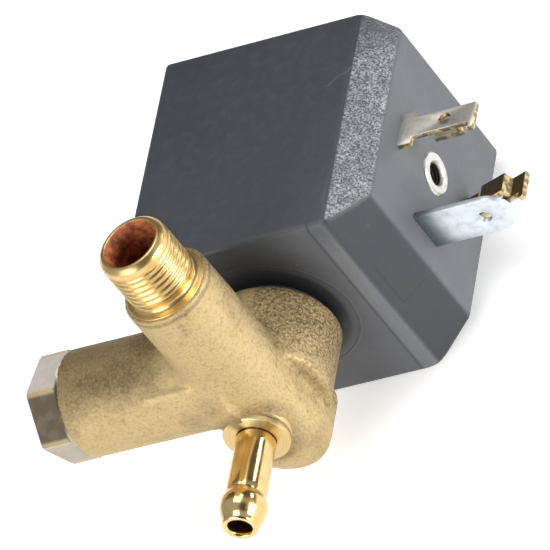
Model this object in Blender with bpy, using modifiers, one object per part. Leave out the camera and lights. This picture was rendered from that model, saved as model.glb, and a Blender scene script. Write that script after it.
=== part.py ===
"""Two-way solenoid valve: a forged brass body with a threaded inlet, a side port and a hose barb,
a guide tube with a spring-returned plunger, and a moulded coil with a three-blade connector.

The valve lies on the flat back of its coil. +X points out of the connector, +Y points up the
plunger's axis away from the brass body, and +Z points away from the surface it lies on.
Heights along the plunger's axis are counted from the underside of the coil.
"""

import math

import bmesh
import bpy
from mathutils import Matrix, Vector

MM = 0.001
GAP = 0.3 * MM  # clearance between pieces that touch
SLIDE = 0.1 * MM  # radial clearance of the plunger in its tube

# The frame
ORIGIN_HEIGHT = 18.0 * MM  # from the coil's underside up to the frame's origin, on the coil's back

# Coil housing
COIL_WIDTH = 30.5 * MM
COIL_HEIGHT = 35.8 * MM
COIL_DEPTH = 31.2 * MM
AXIS_OFFSET = 0.5 * MM  # the plunger's axis above the middle of the coil's depth
COIL_ROUNDING = 0.7 * MM
END_RAISE = 4.7 * MM  # how far the connector face stands out of the block
END_INSET_LOW = 5.6 * MM
END_INSET_HIGH = 1.9 * MM
END_INSET_FRONT = 2.7 * MM
END_INSET_BACK = 1.9 * MM
HOUSING_SKIN = 1.2 * MM  # resin over the yoke
SIDE_RESIN = 3.0 * MM  # least resin beside the winding

# Yoke, bobbin and winding
YOKE_THICKNESS = 2.0 * MM
YOKE_SIDE = 4.6 * MM  # resin beside the yoke, on each side
YOKE_REACH = 10.0 * MM  # from the axis towards the connector
YOKE_EDGE = 1.9 * MM  # resin above and below the yoke
BOBBIN_WALL = 1.0 * MM
BOBBIN_FLANGE = 1.1 * MM
TAPE = 0.4 * MM
WIRE_RADIUS = 0.4 * MM

# Connector
PIN_SPACING = 18.0 * MM
PIN_DROP = 0.2 * MM  # the middle of the connector below the middle of the coil's depth
PIN_RISE = 1.3 * MM  # the line blades above the middle of the coil's height
PIN_LENGTH = 11.1 * MM
PIN_THICKNESS = 0.8 * MM
PIN_BLADE = 3.2 * MM
PIN_ROOT = 5.4 * MM
PIN_ROOT_LENGTH = 1.9 * MM
PIN_BURIED = 3.6 * MM
PIN_HOLE_RADIUS = 0.95 * MM
PIN_HOLE_AT = 6.6 * MM
WING_START = 4.4 * MM
WING_END = 8.8 * MM
WING_OFFSET = 1.6 * MM
PIN_TIP_DROP = 0.9 * MM
NEUTRAL_LEAN = math.radians(18.0)  # how far this blade leans in towards the middle
EARTH_DROP = 9.4 * MM  # the earth blade below the line blades
EARTH_WIDTH = 6.3 * MM
EARTH_LENGTH = 12.9 * MM
EARTH_HOLE_AT = 8.9 * MM
INSERT_RADIUS = 3.0 * MM
INSERT_BORE_RADIUS = 1.45 * MM
INSERT_DEPTH = 4.6 * MM
INSERT_PROUD = 0.3 * MM

# Guide tube, core and plunger
PLUNGER_RADIUS = 4.2 * MM
PLUNGER_LENGTH = 24.0 * MM
STROKE = 1.8 * MM
TUBE_WALL = 0.6 * MM
COLLAR_WALL = 2.0 * MM
COLLAR_HEIGHT = 5.0 * MM
O_RING_WIRE = 0.8 * MM
SEAL_RADIUS = 2.6 * MM
SEAL_THICKNESS = 2.4 * MM
SPRING_RADIUS = 2.1 * MM
SPRING_WIRE_RADIUS = 0.25 * MM
SPRING_TURNS = 7
SPRING_POCKET = 9.0 * MM
SHADING_RADIUS = 2.9 * MM
SHADING_SECTION = 0.7 * MM
STUD_RADIUS = 2.9 * MM
STUD_LENGTH = 6.4 * MM
NUT_FLATS = 10.0 * MM
NUT_HEIGHT = 4.0 * MM
WASHER_SEAT = 0.4 * MM  # how far the washer reaches past the coil's bore
WASHER_THICKNESS = 0.8 * MM
GASKET_THICKNESS = 0.6 * MM

# Brass body
BOSS_WALL = 1.6 * MM  # brass round the collar
BOSS_BOTTOM = -12.0 * MM
CHAMBER_FLOOR = -9.2 * MM
SEAT_RADIUS = 2.2 * MM
SEAT_RISE = 1.6 * MM
SEAT_SUNK = 2.0 * MM
ORIFICE_RADIUS = 1.1 * MM
ARM_HEIGHT = -13.2 * MM  # axis of the inlet and of the side port
ARM_RADIUS = 6.05 * MM
LOBE_Z = 10.4 * MM  # centre of the upright lobe that closes the arm's back end
LOBE_FILLET = 5.2 * MM  # rounding of the lobe's lower edge
ARM_SHOULDER_Z = 40.6 * MM
RELIEF_DEPTH = 0.66 * MM
RELIEF_LENGTH = 1.7 * MM
THREAD_RADIUS = 4.86 * MM
INLET_END_Z = 49.6 * MM
INLET_WALL = 1.51 * MM  # brass between the thread's crests and the bore
INLET_BORE_END_Z = 20.2 * MM
CROSS_HOLE_RADIUS = 1.2 * MM
CROSS_HOLE_OFFSET = 5.6 * MM
SIDE_AXIS_Z = 23.2 * MM
SIDE_WALL = 2.85 * MM  # brass round the side port
SIDE_END_X = -27.3 * MM
SIDE_HEX_WALL = 2.05 * MM  # brass between the side port and the hexagon's flats
SIDE_HEX_LENGTH = 4.3 * MM
SIDE_HEX_TURN = math.radians(40.0)
SIDE_BORE_RADIUS = 4.3 * MM
SIDE_BORE_DEPTH = 10.0 * MM
SIDE_PASSAGE_RADIUS = 2.6 * MM
NECK_RADIUS = 4.4 * MM
NECK_BOTTOM = -19.8 * MM
BARB_SHANK_LENGTH = 5.0 * MM
BARB_TUBE_RADIUS = 2.65 * MM
BARB_STEP = 0.15 * MM  # how much thinner the buried shank is than the tube
BARB_BULGE = 0.4 * MM  # how far the bulb stands out of the tube
BARB_BULB_HEIGHT = -30.6 * MM
BARB_TIP = -33.9 * MM
BARB_TIP_RADIUS = 2.3 * MM
BARB_BORE_RADIUS = 1.5 * MM

# What follows from them
AXIS_Z = COIL_DEPTH / 2 + AXIS_OFFSET
PIN_CENTRE_Z = COIL_DEPTH / 2 - PIN_DROP
PIN_HEIGHT = COIL_HEIGHT / 2 + PIN_RISE
EARTH_HEIGHT = PIN_HEIGHT - EARTH_DROP
TUBE_INNER = PLUNGER_RADIUS + SLIDE
TUBE_OUTER = TUBE_INNER + TUBE_WALL
TUBE_TOP = COIL_HEIGHT - MM
COLLAR_RADIUS = TUBE_OUTER + COLLAR_WALL
BOSS_RADIUS = COLLAR_RADIUS + BOSS_WALL
CHAMBER_RADIUS = TUBE_INNER + MM
RELIEF_RADIUS = THREAD_RADIUS - RELIEF_DEPTH
INLET_BORE_RADIUS = THREAD_RADIUS - INLET_WALL
SIDE_RADIUS = SIDE_BORE_RADIUS + SIDE_WALL
SIDE_HEX_FLATS = 2 * (SIDE_BORE_RADIUS + SIDE_HEX_WALL)
BARB_SHANK_RADIUS = BARB_TUBE_RADIUS - BARB_STEP
BARB_BULB_RADIUS = BARB_TUBE_RADIUS + BARB_BULGE
COIL_BORE = TUBE_OUTER + GAP
WASHER_RADIUS = COIL_BORE + WASHER_SEAT
BOSS_TOP = -(GASKET_THICKNESS + 2 * GAP)
YOKE_WIDTH = COIL_DEPTH - 2 * YOKE_SIDE
YOKE_BACK_X = -COIL_WIDTH / 2 + HOUSING_SKIN
FLANGE_RADIUS = min(-YOKE_BACK_X - YOKE_THICKNESS - GAP, COIL_DEPTH - AXIS_Z - SIDE_RESIN)
BOBBIN_LOW = YOKE_EDGE + YOKE_THICKNESS + GAP
BOBBIN_HIGH = COIL_HEIGHT - BOBBIN_LOW
WINDING_RADIUS = FLANGE_RADIUS - 2 * TAPE - GAP
CONNECTOR_X = COIL_WIDTH / 2 + END_RAISE
COLLAR_TOP = BOSS_TOP - GAP
COLLAR_LOW = COLLAR_TOP - COLLAR_HEIGHT
SEAT_TOP = CHAMBER_FLOOR + SEAT_RISE
SEAL_LOW = SEAT_TOP + GAP
PLUNGER_LOW = SEAL_LOW + GAP
PLUNGER_TOP = PLUNGER_LOW + PLUNGER_LENGTH
CORE_LOW = PLUNGER_TOP + STROKE + GAP
POCKET_FLOOR = PLUNGER_TOP - SPRING_POCKET
NUT_LOW = COIL_HEIGHT + WASHER_THICKNESS + 2 * GAP
CROSS_HOLE_Z = AXIS_Z + CROSS_HOLE_OFFSET - CROSS_HOLE_RADIUS

COARSE, MEDIUM, FINE = 24, 32, 48  # sides of round pieces
X_AXIS = Matrix.Rotation(math.pi / 2, 4, "Y")
Y_AXIS = Matrix.Rotation(-math.pi / 2, 4, "X")
Z_AXIS = Matrix.Identity(4)
BORE_TURN = Matrix.Rotation(math.radians(2), 4, "Z")  # keeps the bore's corners off the arm's


def clear_scene():
    for obj in list(bpy.data.objects):
        bpy.data.objects.remove(obj, do_unlink=True)


def collection(name):
    made = bpy.data.collections.new(name)
    bpy.context.scene.collection.children.link(made)
    return made


def material(name, colour, roughness, metallic):
    made = bpy.data.materials.new(name)
    made.use_nodes = True
    shader = made.node_tree.nodes["Principled BSDF"]
    shader.inputs["Base Color"].default_value = (*colour, 1.0)
    shader.inputs["Roughness"].default_value = roughness
    shader.inputs["Metallic"].default_value = metallic
    return made


def add_object(name, data, home, place=None, look=None):
    """Puts data in the scene under the valve's frame, at a place in that frame."""
    obj = bpy.data.objects.new(name, data)
    home.objects.link(obj)
    obj.parent = FRAME
    obj.matrix_local = place or Matrix.Identity(4)
    if look:
        data.materials.append(look)
    if home is CUTTERS:
        obj.hide_render = True
        obj.display_type = "WIRE"
    return obj


def at(x, height, z, turn=Z_AXIS):
    return Matrix.Translation((x, height, z)) @ turn


def on_axis(height=0.0):
    """On the plunger's axis, pointing up it."""
    return at(0.0, height, AXIS_Z, Y_AXIS)


def turned(name, profile, home, place, look=None, sides=MEDIUM, ring=False):
    """A profile of (radius, height) spun about its own Z, given top to bottom down the outside."""
    mesh = bpy.data.meshes.new(name)
    points = [(radius, 0.0, height) for radius, height in profile]
    edges = [(i, i + 1) for i in range(len(points) - 1)]
    if ring:
        edges.append((len(points) - 1, 0))
    mesh.from_pydata(points, edges, [])
    obj = add_object(name, mesh, home, place, look)
    spin = obj.modifiers.new("Spin", "SCREW")
    spin.steps = spin.render_steps = sides
    spin.use_merge_vertices = True
    spin.merge_threshold = 0.00001
    spin.use_smooth_shade = True
    return obj


def cylinder(name, radius, low, high, home, place, look=None, sides=MEDIUM):
    profile = [(0.0, high), (radius, high), (radius, low), (0.0, low)]
    return turned(name, profile, home, place, look, sides)


def tube(name, outer, inner, low, high, home, place, look=None, sides=MEDIUM):
    profile = [(inner, high), (outer, high), (outer, low), (inner, low)]
    return turned(name, profile, home, place, look, sides, ring=True)


def box(name, low, high, home, look=None, place=None):
    """A box between two corners."""
    low, high = Vector(low), Vector(high)
    work = bmesh.new()
    bmesh.ops.create_cube(work, size=1.0)
    bmesh.ops.scale(work, vec=high - low, verts=work.verts)
    bmesh.ops.translate(work, vec=(low + high) / 2, verts=work.verts)
    mesh = bpy.data.meshes.new(name)
    work.to_mesh(mesh)
    work.free()
    return add_object(name, mesh, home, place, look)


def prism(name, sides, flats, low, high, home, place, look=None, turn=0.0):
    """A regular prism about its own Z, with a flat facing +X before the turn."""
    work = bmesh.new()
    radius = flats / 2 / math.cos(math.pi / sides)
    bmesh.ops.create_cone(
        work, cap_ends=True, segments=sides, radius1=radius, radius2=radius, depth=high - low,
        matrix=Matrix.Translation((0, 0, (low + high) / 2)) @ Matrix.Rotation(turn, 4, "Z"),
    )
    mesh = bpy.data.meshes.new(name)
    work.to_mesh(mesh)
    work.free()
    return add_object(name, mesh, home, place, look)


def outlined(name, loops, thickness, home, place=None, look=None):
    """Closed outlines in their own XY plane, the first filled and the others holes, thickened both ways."""
    flat = bpy.data.curves.new(name, "CURVE")
    flat.dimensions = "2D"
    flat.fill_mode = "BOTH"
    flat.extrude = thickness / 2
    for loop in loops:
        spline = flat.splines.new("POLY")
        spline.points.add(len(loop) - 1)
        spline.use_cyclic_u = True
        for point, (across, along) in zip(spline.points, loop):
            point.co = (across, along, 0, 1)
    guide = bpy.data.objects.new(name, flat)
    bpy.context.scene.collection.objects.link(guide)
    solid = guide.evaluated_get(bpy.context.evaluated_depsgraph_get())
    mesh = bpy.data.meshes.new_from_object(solid)
    bpy.data.objects.remove(guide)
    work = bmesh.new()
    work.from_mesh(mesh)
    bmesh.ops.remove_doubles(work, verts=work.verts, dist=0.000001)
    bmesh.ops.recalc_face_normals(work, faces=work.faces)
    work.to_mesh(mesh)
    work.free()
    mesh.name = name
    return add_object(name, mesh, home, place, look)


def arc(centre, radius, start, end, pieces):
    """Points of an arc, angles in degrees."""
    steps = (math.radians(start + (end - start) * i / pieces) for i in range(pieces + 1))
    return [(centre[0] + radius * math.cos(a), centre[1] + radius * math.sin(a)) for a in steps]


def combine(target, other, operation):
    step = target.modifiers.new(operation.title(), "BOOLEAN")
    step.operation = operation
    step.solver = "EXACT"
    step.object = other


def cut(target, *others):
    for other in others:
        combine(target, other, "DIFFERENCE")


def join(target, *others):
    for other in others:
        combine(target, other, "UNION")


def chamfer(obj, width, segments=2):
    bevel = obj.modifiers.new("Rounding", "BEVEL")
    bevel.width = width
    bevel.segments = segments
    bevel.limit_method = "ANGLE"
    bevel.angle_limit = math.radians(20)


# ---------------------------------------------------------------- brass body

def boss():
    r, low = BOSS_RADIUS, BOSS_BOTTOM
    edge = 0.4 * MM
    profile = [(0, BOSS_TOP), (r - edge, BOSS_TOP), (r, BOSS_TOP - edge), (r, low), (0, low)]
    return turned("valve_body", profile, PARTS, on_axis(), BRASS, FINE)


def inlet_arm():
    """The arm, the relief and the thread, from the lobe to the inlet's mouth."""
    lead = 0.5 * MM
    relief_z = ARM_SHOULDER_Z + RELIEF_LENGTH
    outside = [
        (0.0, INLET_END_Z),
        (THREAD_RADIUS - lead, INLET_END_Z),
        (THREAD_RADIUS, INLET_END_Z - lead),
        (THREAD_RADIUS, relief_z + lead),
        (RELIEF_RADIUS, relief_z),
        (RELIEF_RADIUS, ARM_SHOULDER_Z),
        (ARM_RADIUS - lead, ARM_SHOULDER_Z),
        (ARM_RADIUS, ARM_SHOULDER_Z - lead),
        (ARM_RADIUS, LOBE_Z),
        (0.0, LOBE_Z),
    ]
    return turned("inlet_arm", outside, CUTTERS, at(0, ARM_HEIGHT, 0), sides=FINE)


def rear_lobe():
    """The upright round lobe at the arm's back end, with its lower edge well rounded."""
    edge = 0.8 * MM
    radius = ARM_RADIUS - 0.05 * MM
    top, low = ARM_HEIGHT + radius, ARM_HEIGHT - radius
    corner = arc((radius - LOBE_FILLET, low + LOBE_FILLET), LOBE_FILLET, 0, -90, 6)
    profile = [(0.0, top), (radius - edge, top), (radius, top - edge)] + corner + [(0.0, low)]
    return turned("rear_lobe", profile, CUTTERS, at(0, 0, LOBE_Z, Y_AXIS), sides=FINE)


def side_arm():
    start = -SIDE_END_X - SIDE_HEX_LENGTH
    place = at(0, ARM_HEIGHT, SIDE_AXIS_Z, X_AXIS)
    round_part = cylinder("side_arm", SIDE_RADIUS, -start, -ARM_RADIUS / 2, CUTTERS, place, sides=FINE)
    hexagon = prism("side_hexagon", 6, SIDE_HEX_FLATS, SIDE_END_X, -start + 0.5 * MM, CUTTERS, place,
                    turn=SIDE_HEX_TURN)
    return round_part, hexagon


def neck():
    return cylinder("barb_neck", NECK_RADIUS, NECK_BOTTOM, ARM_HEIGHT, CUTTERS, on_axis(), sides=MEDIUM)


def body_passages():
    """Everything bored out of the brass body."""
    past = 1.0 * MM
    shank = BARB_SHANK_RADIUS + GAP
    shank_top = NECK_BOTTOM + BARB_SHANK_LENGTH + GAP
    socket = COLLAR_RADIUS + GAP
    ledge = COLLAR_LOW - GAP - 2 * O_RING_WIRE - 2 * GAP
    chamber = turned(
        "chamber",
        [
            (0, BOSS_TOP + past), (socket, BOSS_TOP + past), (socket, ledge),
            (CHAMBER_RADIUS, ledge), (CHAMBER_RADIUS, CHAMBER_FLOOR), (0, CHAMBER_FLOOR),
        ],
        CUTTERS, on_axis(), sides=FINE,
    )
    outlet = turned(
        "outlet",
        [
            (0, CHAMBER_FLOOR + past), (SEAT_RADIUS + GAP, CHAMBER_FLOOR + past),
            (SEAT_RADIUS + GAP, CHAMBER_FLOOR - SEAT_SUNK - GAP),
            (ORIFICE_RADIUS, CHAMBER_FLOOR - SEAT_SUNK - GAP), (ORIFICE_RADIUS, shank_top),
            (shank, shank_top), (shank, NECK_BOTTOM - past), (0, NECK_BOTTOM - past),
        ],
        CUTTERS, on_axis(), sides=MEDIUM,
    )
    inlet = cylinder("inlet_bore", INLET_BORE_RADIUS, INLET_BORE_END_Z, INLET_END_Z + past,
                     CUTTERS, at(0, ARM_HEIGHT, 0, BORE_TURN), sides=MEDIUM)
    cross = cylinder("cross_hole", CROSS_HOLE_RADIUS, ARM_HEIGHT, CHAMBER_FLOOR + past,
                     CUTTERS, at(0, 0, CROSS_HOLE_Z, Y_AXIS), sides=COARSE)
    port = turned(
        "side_bore",
        [
            (0, 0), (SIDE_PASSAGE_RADIUS, 0), (SIDE_PASSAGE_RADIUS, SIDE_END_X + SIDE_BORE_DEPTH),
            (SIDE_BORE_RADIUS, SIDE_END_X + SIDE_BORE_DEPTH), (SIDE_BORE_RADIUS, SIDE_END_X - past),
            (0, SIDE_END_X - past),
        ],
        CUTTERS, at(0, ARM_HEIGHT, SIDE_AXIS_Z, X_AXIS), sides=MEDIUM,
    )
    return chamber, outlet, inlet, cross, port


def valve_body():
    body = boss()
    join(body, inlet_arm(), rear_lobe(), *side_arm(), neck())
    cut(body, *body_passages())


def hose_barb():
    bore = BARB_BORE_RADIUS
    top = NECK_BOTTOM + BARB_SHANK_LENGTH
    land = NECK_BOTTOM - GAP
    swell = 1.3 * MM
    turned(
        "hose_barb",
        [
            (bore, top), (BARB_SHANK_RADIUS, top), (BARB_SHANK_RADIUS, land),
            (BARB_TUBE_RADIUS, land), (BARB_TUBE_RADIUS, BARB_BULB_HEIGHT + swell),
            (BARB_BULB_RADIUS, BARB_BULB_HEIGHT), (BARB_BULB_RADIUS, BARB_BULB_HEIGHT - 0.6 * MM),
            (BARB_TIP_RADIUS, BARB_TIP), (bore, BARB_TIP),
        ],
        PARTS, on_axis(), TURNED_BRASS, MEDIUM, ring=True,
    )


def seat_nozzle():
    top, low, bore = SEAT_TOP, CHAMBER_FLOOR - SEAT_SUNK, ORIFICE_RADIUS
    lip = 0.5 * MM
    turned(
        "seat_nozzle",
        [(bore, top), (bore + lip, top), (SEAT_RADIUS, top - lip), (SEAT_RADIUS, low), (bore, low)],
        PARTS, on_axis(), STEEL, MEDIUM, ring=True,
    )


# ---------------------------------------------------------------- guide tube and plunger

def guide_collar():
    """The threaded ring that holds the tube down in the boss."""
    tube("guide_collar", COLLAR_RADIUS, TUBE_OUTER + GAP, COLLAR_LOW, COLLAR_TOP, PARTS, on_axis(),
         STEEL, FINE)


def guide_tube():
    """A thin tube whose foot turns out under the collar."""
    low = COLLAR_LOW - GAP - TUBE_WALL
    foot = COLLAR_RADIUS - O_RING_WIRE
    turned(
        "guide_tube",
        [
            (TUBE_INNER, TUBE_TOP), (TUBE_OUTER, TUBE_TOP), (TUBE_OUTER, low + TUBE_WALL),
            (foot, low + TUBE_WALL), (foot, low), (TUBE_INNER, low),
        ],
        PARTS, on_axis(), STEEL, FINE, ring=True,
    )


def tube_seal():
    """The O-ring under the tube's foot, on the ledge of the boss."""
    middle = COLLAR_LOW - 3 * GAP - TUBE_WALL - O_RING_WIRE / 2
    points = [
        (CHAMBER_RADIUS + 2 * GAP + O_RING_WIRE / 2 * (1 + math.cos(a)),
         middle + O_RING_WIRE / 2 * math.sin(a))
        for a in (math.pi / 2 - math.tau * i / 8 for i in range(8))
    ]
    turned("tube_seal", points, PARTS, on_axis(), RUBBER, MEDIUM, ring=True)


def fixed_core():
    """The core that closes the tube, with the stud that the coil's nut goes on."""
    radius = TUBE_INNER - GAP
    groove_in, groove_out = shading_groove()
    head = TUBE_TOP + GAP
    shoulder = COIL_HEIGHT - GAP
    turned(
        "fixed_core",
        [
            (0, shoulder + STUD_LENGTH), (STUD_RADIUS - 0.4 * MM, shoulder + STUD_LENGTH),
            (STUD_RADIUS, shoulder + STUD_LENGTH - 0.4 * MM), (STUD_RADIUS, shoulder),
            (TUBE_OUTER, shoulder), (TUBE_OUTER, head), (radius, head), (radius, CORE_LOW),
            (groove_out, CORE_LOW), (groove_out, CORE_LOW + SHADING_SECTION + 2 * GAP),
            (groove_in, CORE_LOW + SHADING_SECTION + 2 * GAP), (groove_in, CORE_LOW), (0, CORE_LOW),
        ],
        PARTS, on_axis(), STEEL, MEDIUM,
    )


def shading_groove():
    half = SHADING_SECTION / 2 + GAP / 2
    return SHADING_RADIUS - half, SHADING_RADIUS + half


def shading_ring():
    half = SHADING_SECTION / 2 - GAP / 2
    low = CORE_LOW + GAP
    tube("shading_ring", SHADING_RADIUS + half, SHADING_RADIUS - half, low, low + SHADING_SECTION,
         PARTS, on_axis(), COPPER, COARSE)


def plunger():
    """The sliding armature: a spring pocket in its top, the seal's pocket in its foot and two flow slots."""
    edge = 0.4 * MM
    spring_pocket = SPRING_RADIUS + SPRING_WIRE_RADIUS + GAP
    seal_pocket = SEAL_RADIUS + GAP
    body = turned(
        "plunger",
        [
            (0, POCKET_FLOOR), (spring_pocket, POCKET_FLOOR), (spring_pocket, PLUNGER_TOP),
            (PLUNGER_RADIUS - edge, PLUNGER_TOP), (PLUNGER_RADIUS, PLUNGER_TOP - edge),
            (PLUNGER_RADIUS, PLUNGER_LOW + edge), (PLUNGER_RADIUS - edge, PLUNGER_LOW),
            (seal_pocket, PLUNGER_LOW), (seal_pocket, PLUNGER_LOW + SEAL_THICKNESS),
            (0, PLUNGER_LOW + SEAL_THICKNESS),
        ],
        PARTS, on_axis(), STEEL, MEDIUM,
    )
    slot_width, slot_depth = 1.2 * MM, 0.7 * MM
    for side in (-1, 1):
        near = side * (PLUNGER_RADIUS - slot_depth)
        far = side * (PLUNGER_RADIUS + slot_depth)
        cut(body, box(
            "flow_slot",
            (min(near, far), PLUNGER_LOW - slot_depth, AXIS_Z - slot_width / 2),
            (max(near, far), PLUNGER_TOP + slot_depth, AXIS_Z + slot_width / 2),
            CUTTERS,
        ))


def plunger_seal():
    cylinder("plunger_seal", SEAL_RADIUS, SEAL_LOW, PLUNGER_LOW + SEAL_THICKNESS - GAP, PARTS,
             on_axis(), RUBBER, COARSE)


def plunger_spring():
    """A wound wire between the pocket's floor and the core, with a closed turn at each end."""
    low = POCKET_FLOOR + GAP + SPRING_WIRE_RADIUS
    high = CORE_LOW - GAP - SPRING_WIRE_RADIUS
    a_turn = 12
    closed_pitch = 2.4 * SPRING_WIRE_RADIUS
    count = SPRING_TURNS * a_turn
    curve = bpy.data.curves.new("plunger_spring", "CURVE")
    curve.dimensions = "3D"
    curve.bevel_depth = SPRING_WIRE_RADIUS
    curve.bevel_resolution = 1
    curve.use_fill_caps = True
    spline = curve.splines.new("POLY")
    spline.points.add(count)
    open_rise = high - low - 2 * closed_pitch
    for i, point in enumerate(spline.points):
        turns = i / a_turn
        middle = min(max(turns - 1, 0.0), SPRING_TURNS - 2)
        ends = min(turns, 1.0) + max(turns - (SPRING_TURNS - 1), 0.0)
        height = low + closed_pitch * ends + open_rise * middle / (SPRING_TURNS - 2)
        angle = math.tau * turns
        point.co = (SPRING_RADIUS * math.cos(angle), SPRING_RADIUS * math.sin(angle), height, 1)
    add_object("plunger_spring", curve, PARTS, on_axis(), SPRING_STEEL)


# ---------------------------------------------------------------- coil

def coil_gasket():
    low = BOSS_TOP + GAP
    tube("coil_gasket", BOSS_RADIUS - 1.2 * MM, COIL_BORE + GAP, low, low + GASKET_THICKNESS,
         PARTS, on_axis(), RUBBER, MEDIUM)


def housing_block():
    """The moulded block, with the connector face drawn out of its +X end."""
    half = COIL_WIDTH / 2
    work = bmesh.new()
    bmesh.ops.create_cube(work, size=1.0)
    bmesh.ops.scale(work, vec=(COIL_WIDTH, COIL_HEIGHT, COIL_DEPTH), verts=work.verts)
    bmesh.ops.translate(work, vec=(0, COIL_HEIGHT / 2, COIL_DEPTH / 2), verts=work.verts)
    end = [f for f in work.faces if f.calc_center_median().x > half * 0.9]
    drawn = bmesh.ops.extrude_discrete_faces(work, faces=end)["faces"][0]
    for vert in drawn.verts:
        vert.co.x += END_RAISE
        vert.co.y += END_INSET_LOW if vert.co.y < COIL_HEIGHT / 2 else -END_INSET_HIGH
        vert.co.z += END_INSET_BACK if vert.co.z < COIL_DEPTH / 2 else -END_INSET_FRONT
    bmesh.ops.recalc_face_normals(work, faces=work.faces)
    mesh = bpy.data.meshes.new("coil_housing")
    work.to_mesh(mesh)
    work.free()
    block = add_object("coil_housing", mesh, PARTS, None, RESIN)
    chamfer(block, COIL_ROUNDING)
    return block


def yoke_channel(name, home, spare=0.0, look=None):
    """The yoke's C outline, grown by spare, as wide as the yoke."""
    back, inside, front = YOKE_BACK_X, YOKE_BACK_X + YOKE_THICKNESS, YOKE_REACH
    low, high = YOKE_EDGE, COIL_HEIGHT - YOKE_EDGE
    outline = [
        (back - spare, low - spare), (front + spare, low - spare),
        (front + spare, low + YOKE_THICKNESS + spare), (inside + spare, low + YOKE_THICKNESS + spare),
        (inside + spare, high - YOKE_THICKNESS - spare), (front + spare, high - YOKE_THICKNESS - spare),
        (front + spare, high + spare), (back - spare, high + spare),
    ]
    return outlined(name, [outline], YOKE_WIDTH + 2 * spare, home, at(0, 0, AXIS_Z), look)


def pin_slot(name, z):
    spare = GAP
    tall = PIN_ROOT / 2 + spare
    thick = PIN_THICKNESS / 2 + spare
    return box(
        name,
        (CONNECTOR_X - PIN_BURIED - spare, PIN_HEIGHT - tall, z - thick),
        (CONNECTOR_X + spare, PIN_HEIGHT + tall, z + thick),
        CUTTERS,
    )


def coil_housing():
    block = housing_block()
    bore = cylinder("coil_bore", COIL_BORE, -MM, COIL_HEIGHT + MM, CUTTERS, on_axis(), sides=FINE)
    room = cylinder("winding_room", FLANGE_RADIUS + GAP, BOBBIN_LOW - GAP, BOBBIN_HIGH + GAP,
                    CUTTERS, on_axis(), sides=FINE)
    cut(block, room, yoke_channel("yoke_room", CUTTERS, GAP), bore)
    insert_room = cylinder("insert_room", INSERT_RADIUS + GAP, CONNECTOR_X - INSERT_DEPTH - GAP,
                           CONNECTOR_X + MM, CUTTERS, at(0, PIN_HEIGHT, PIN_CENTRE_Z, X_AXIS))
    earth_room = box(
        "earth_room",
        (CONNECTOR_X - PIN_BURIED - GAP, EARTH_HEIGHT - PIN_THICKNESS / 2 - GAP,
         PIN_CENTRE_Z - EARTH_WIDTH / 2 - GAP),
        (CONNECTOR_X + GAP, EARTH_HEIGHT + PIN_THICKNESS / 2 + GAP, PIN_CENTRE_Z + EARTH_WIDTH / 2 + GAP),
        CUTTERS,
    )
    cut(block, insert_room, earth_room)
    for side, word in ((1, "line"), (-1, "neutral")):
        z = PIN_CENTRE_Z + side * PIN_SPACING / 2
        channel = cylinder(f"{word}_channel", WIRE_RADIUS + GAP, wire_start(z), CONNECTOR_X - PIN_BURIED,
                           CUTTERS, at(0, PIN_HEIGHT, z, X_AXIS), sides=COARSE)
        cut(block, pin_slot(f"{word}_slot", z), channel)


def wire_start(z):
    """Where the taped winding's side is, at a pin's distance from the axis."""
    return math.sqrt(max(FLANGE_RADIUS**2 - (z - AXIS_Z) ** 2, 0.0))


def yoke_frame():
    yoke = yoke_channel("yoke_frame", PARTS, look=MAGNET_STEEL)
    cut(yoke, cylinder("yoke_bore", COIL_BORE, -MM, COIL_HEIGHT + MM, CUTTERS, on_axis(), sides=FINE))


def bobbin():
    inner, outer = COIL_BORE, COIL_BORE + BOBBIN_WALL
    turned(
        "bobbin",
        [
            (inner, BOBBIN_HIGH), (FLANGE_RADIUS, BOBBIN_HIGH), (FLANGE_RADIUS, BOBBIN_HIGH - BOBBIN_FLANGE),
            (outer, BOBBIN_HIGH - BOBBIN_FLANGE), (outer, BOBBIN_LOW + BOBBIN_FLANGE),
            (FLANGE_RADIUS, BOBBIN_LOW + BOBBIN_FLANGE), (FLANGE_RADIUS, BOBBIN_LOW), (inner, BOBBIN_LOW),
        ],
        PARTS, on_axis(), NYLON, FINE, ring=True,
    )


def winding():
    low, high = BOBBIN_LOW + BOBBIN_FLANGE + GAP, BOBBIN_HIGH - BOBBIN_FLANGE - GAP
    tube("winding", WINDING_RADIUS, COIL_BORE + BOBBIN_WALL + GAP, low, high, PARTS, on_axis(),
         COPPER, FINE)
    inside = WINDING_RADIUS + GAP
    tube("winding_tape", inside + TAPE, inside, low, high, PARTS, on_axis(), TAPE_YELLOW, FINE)


# ---------------------------------------------------------------- connector

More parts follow.
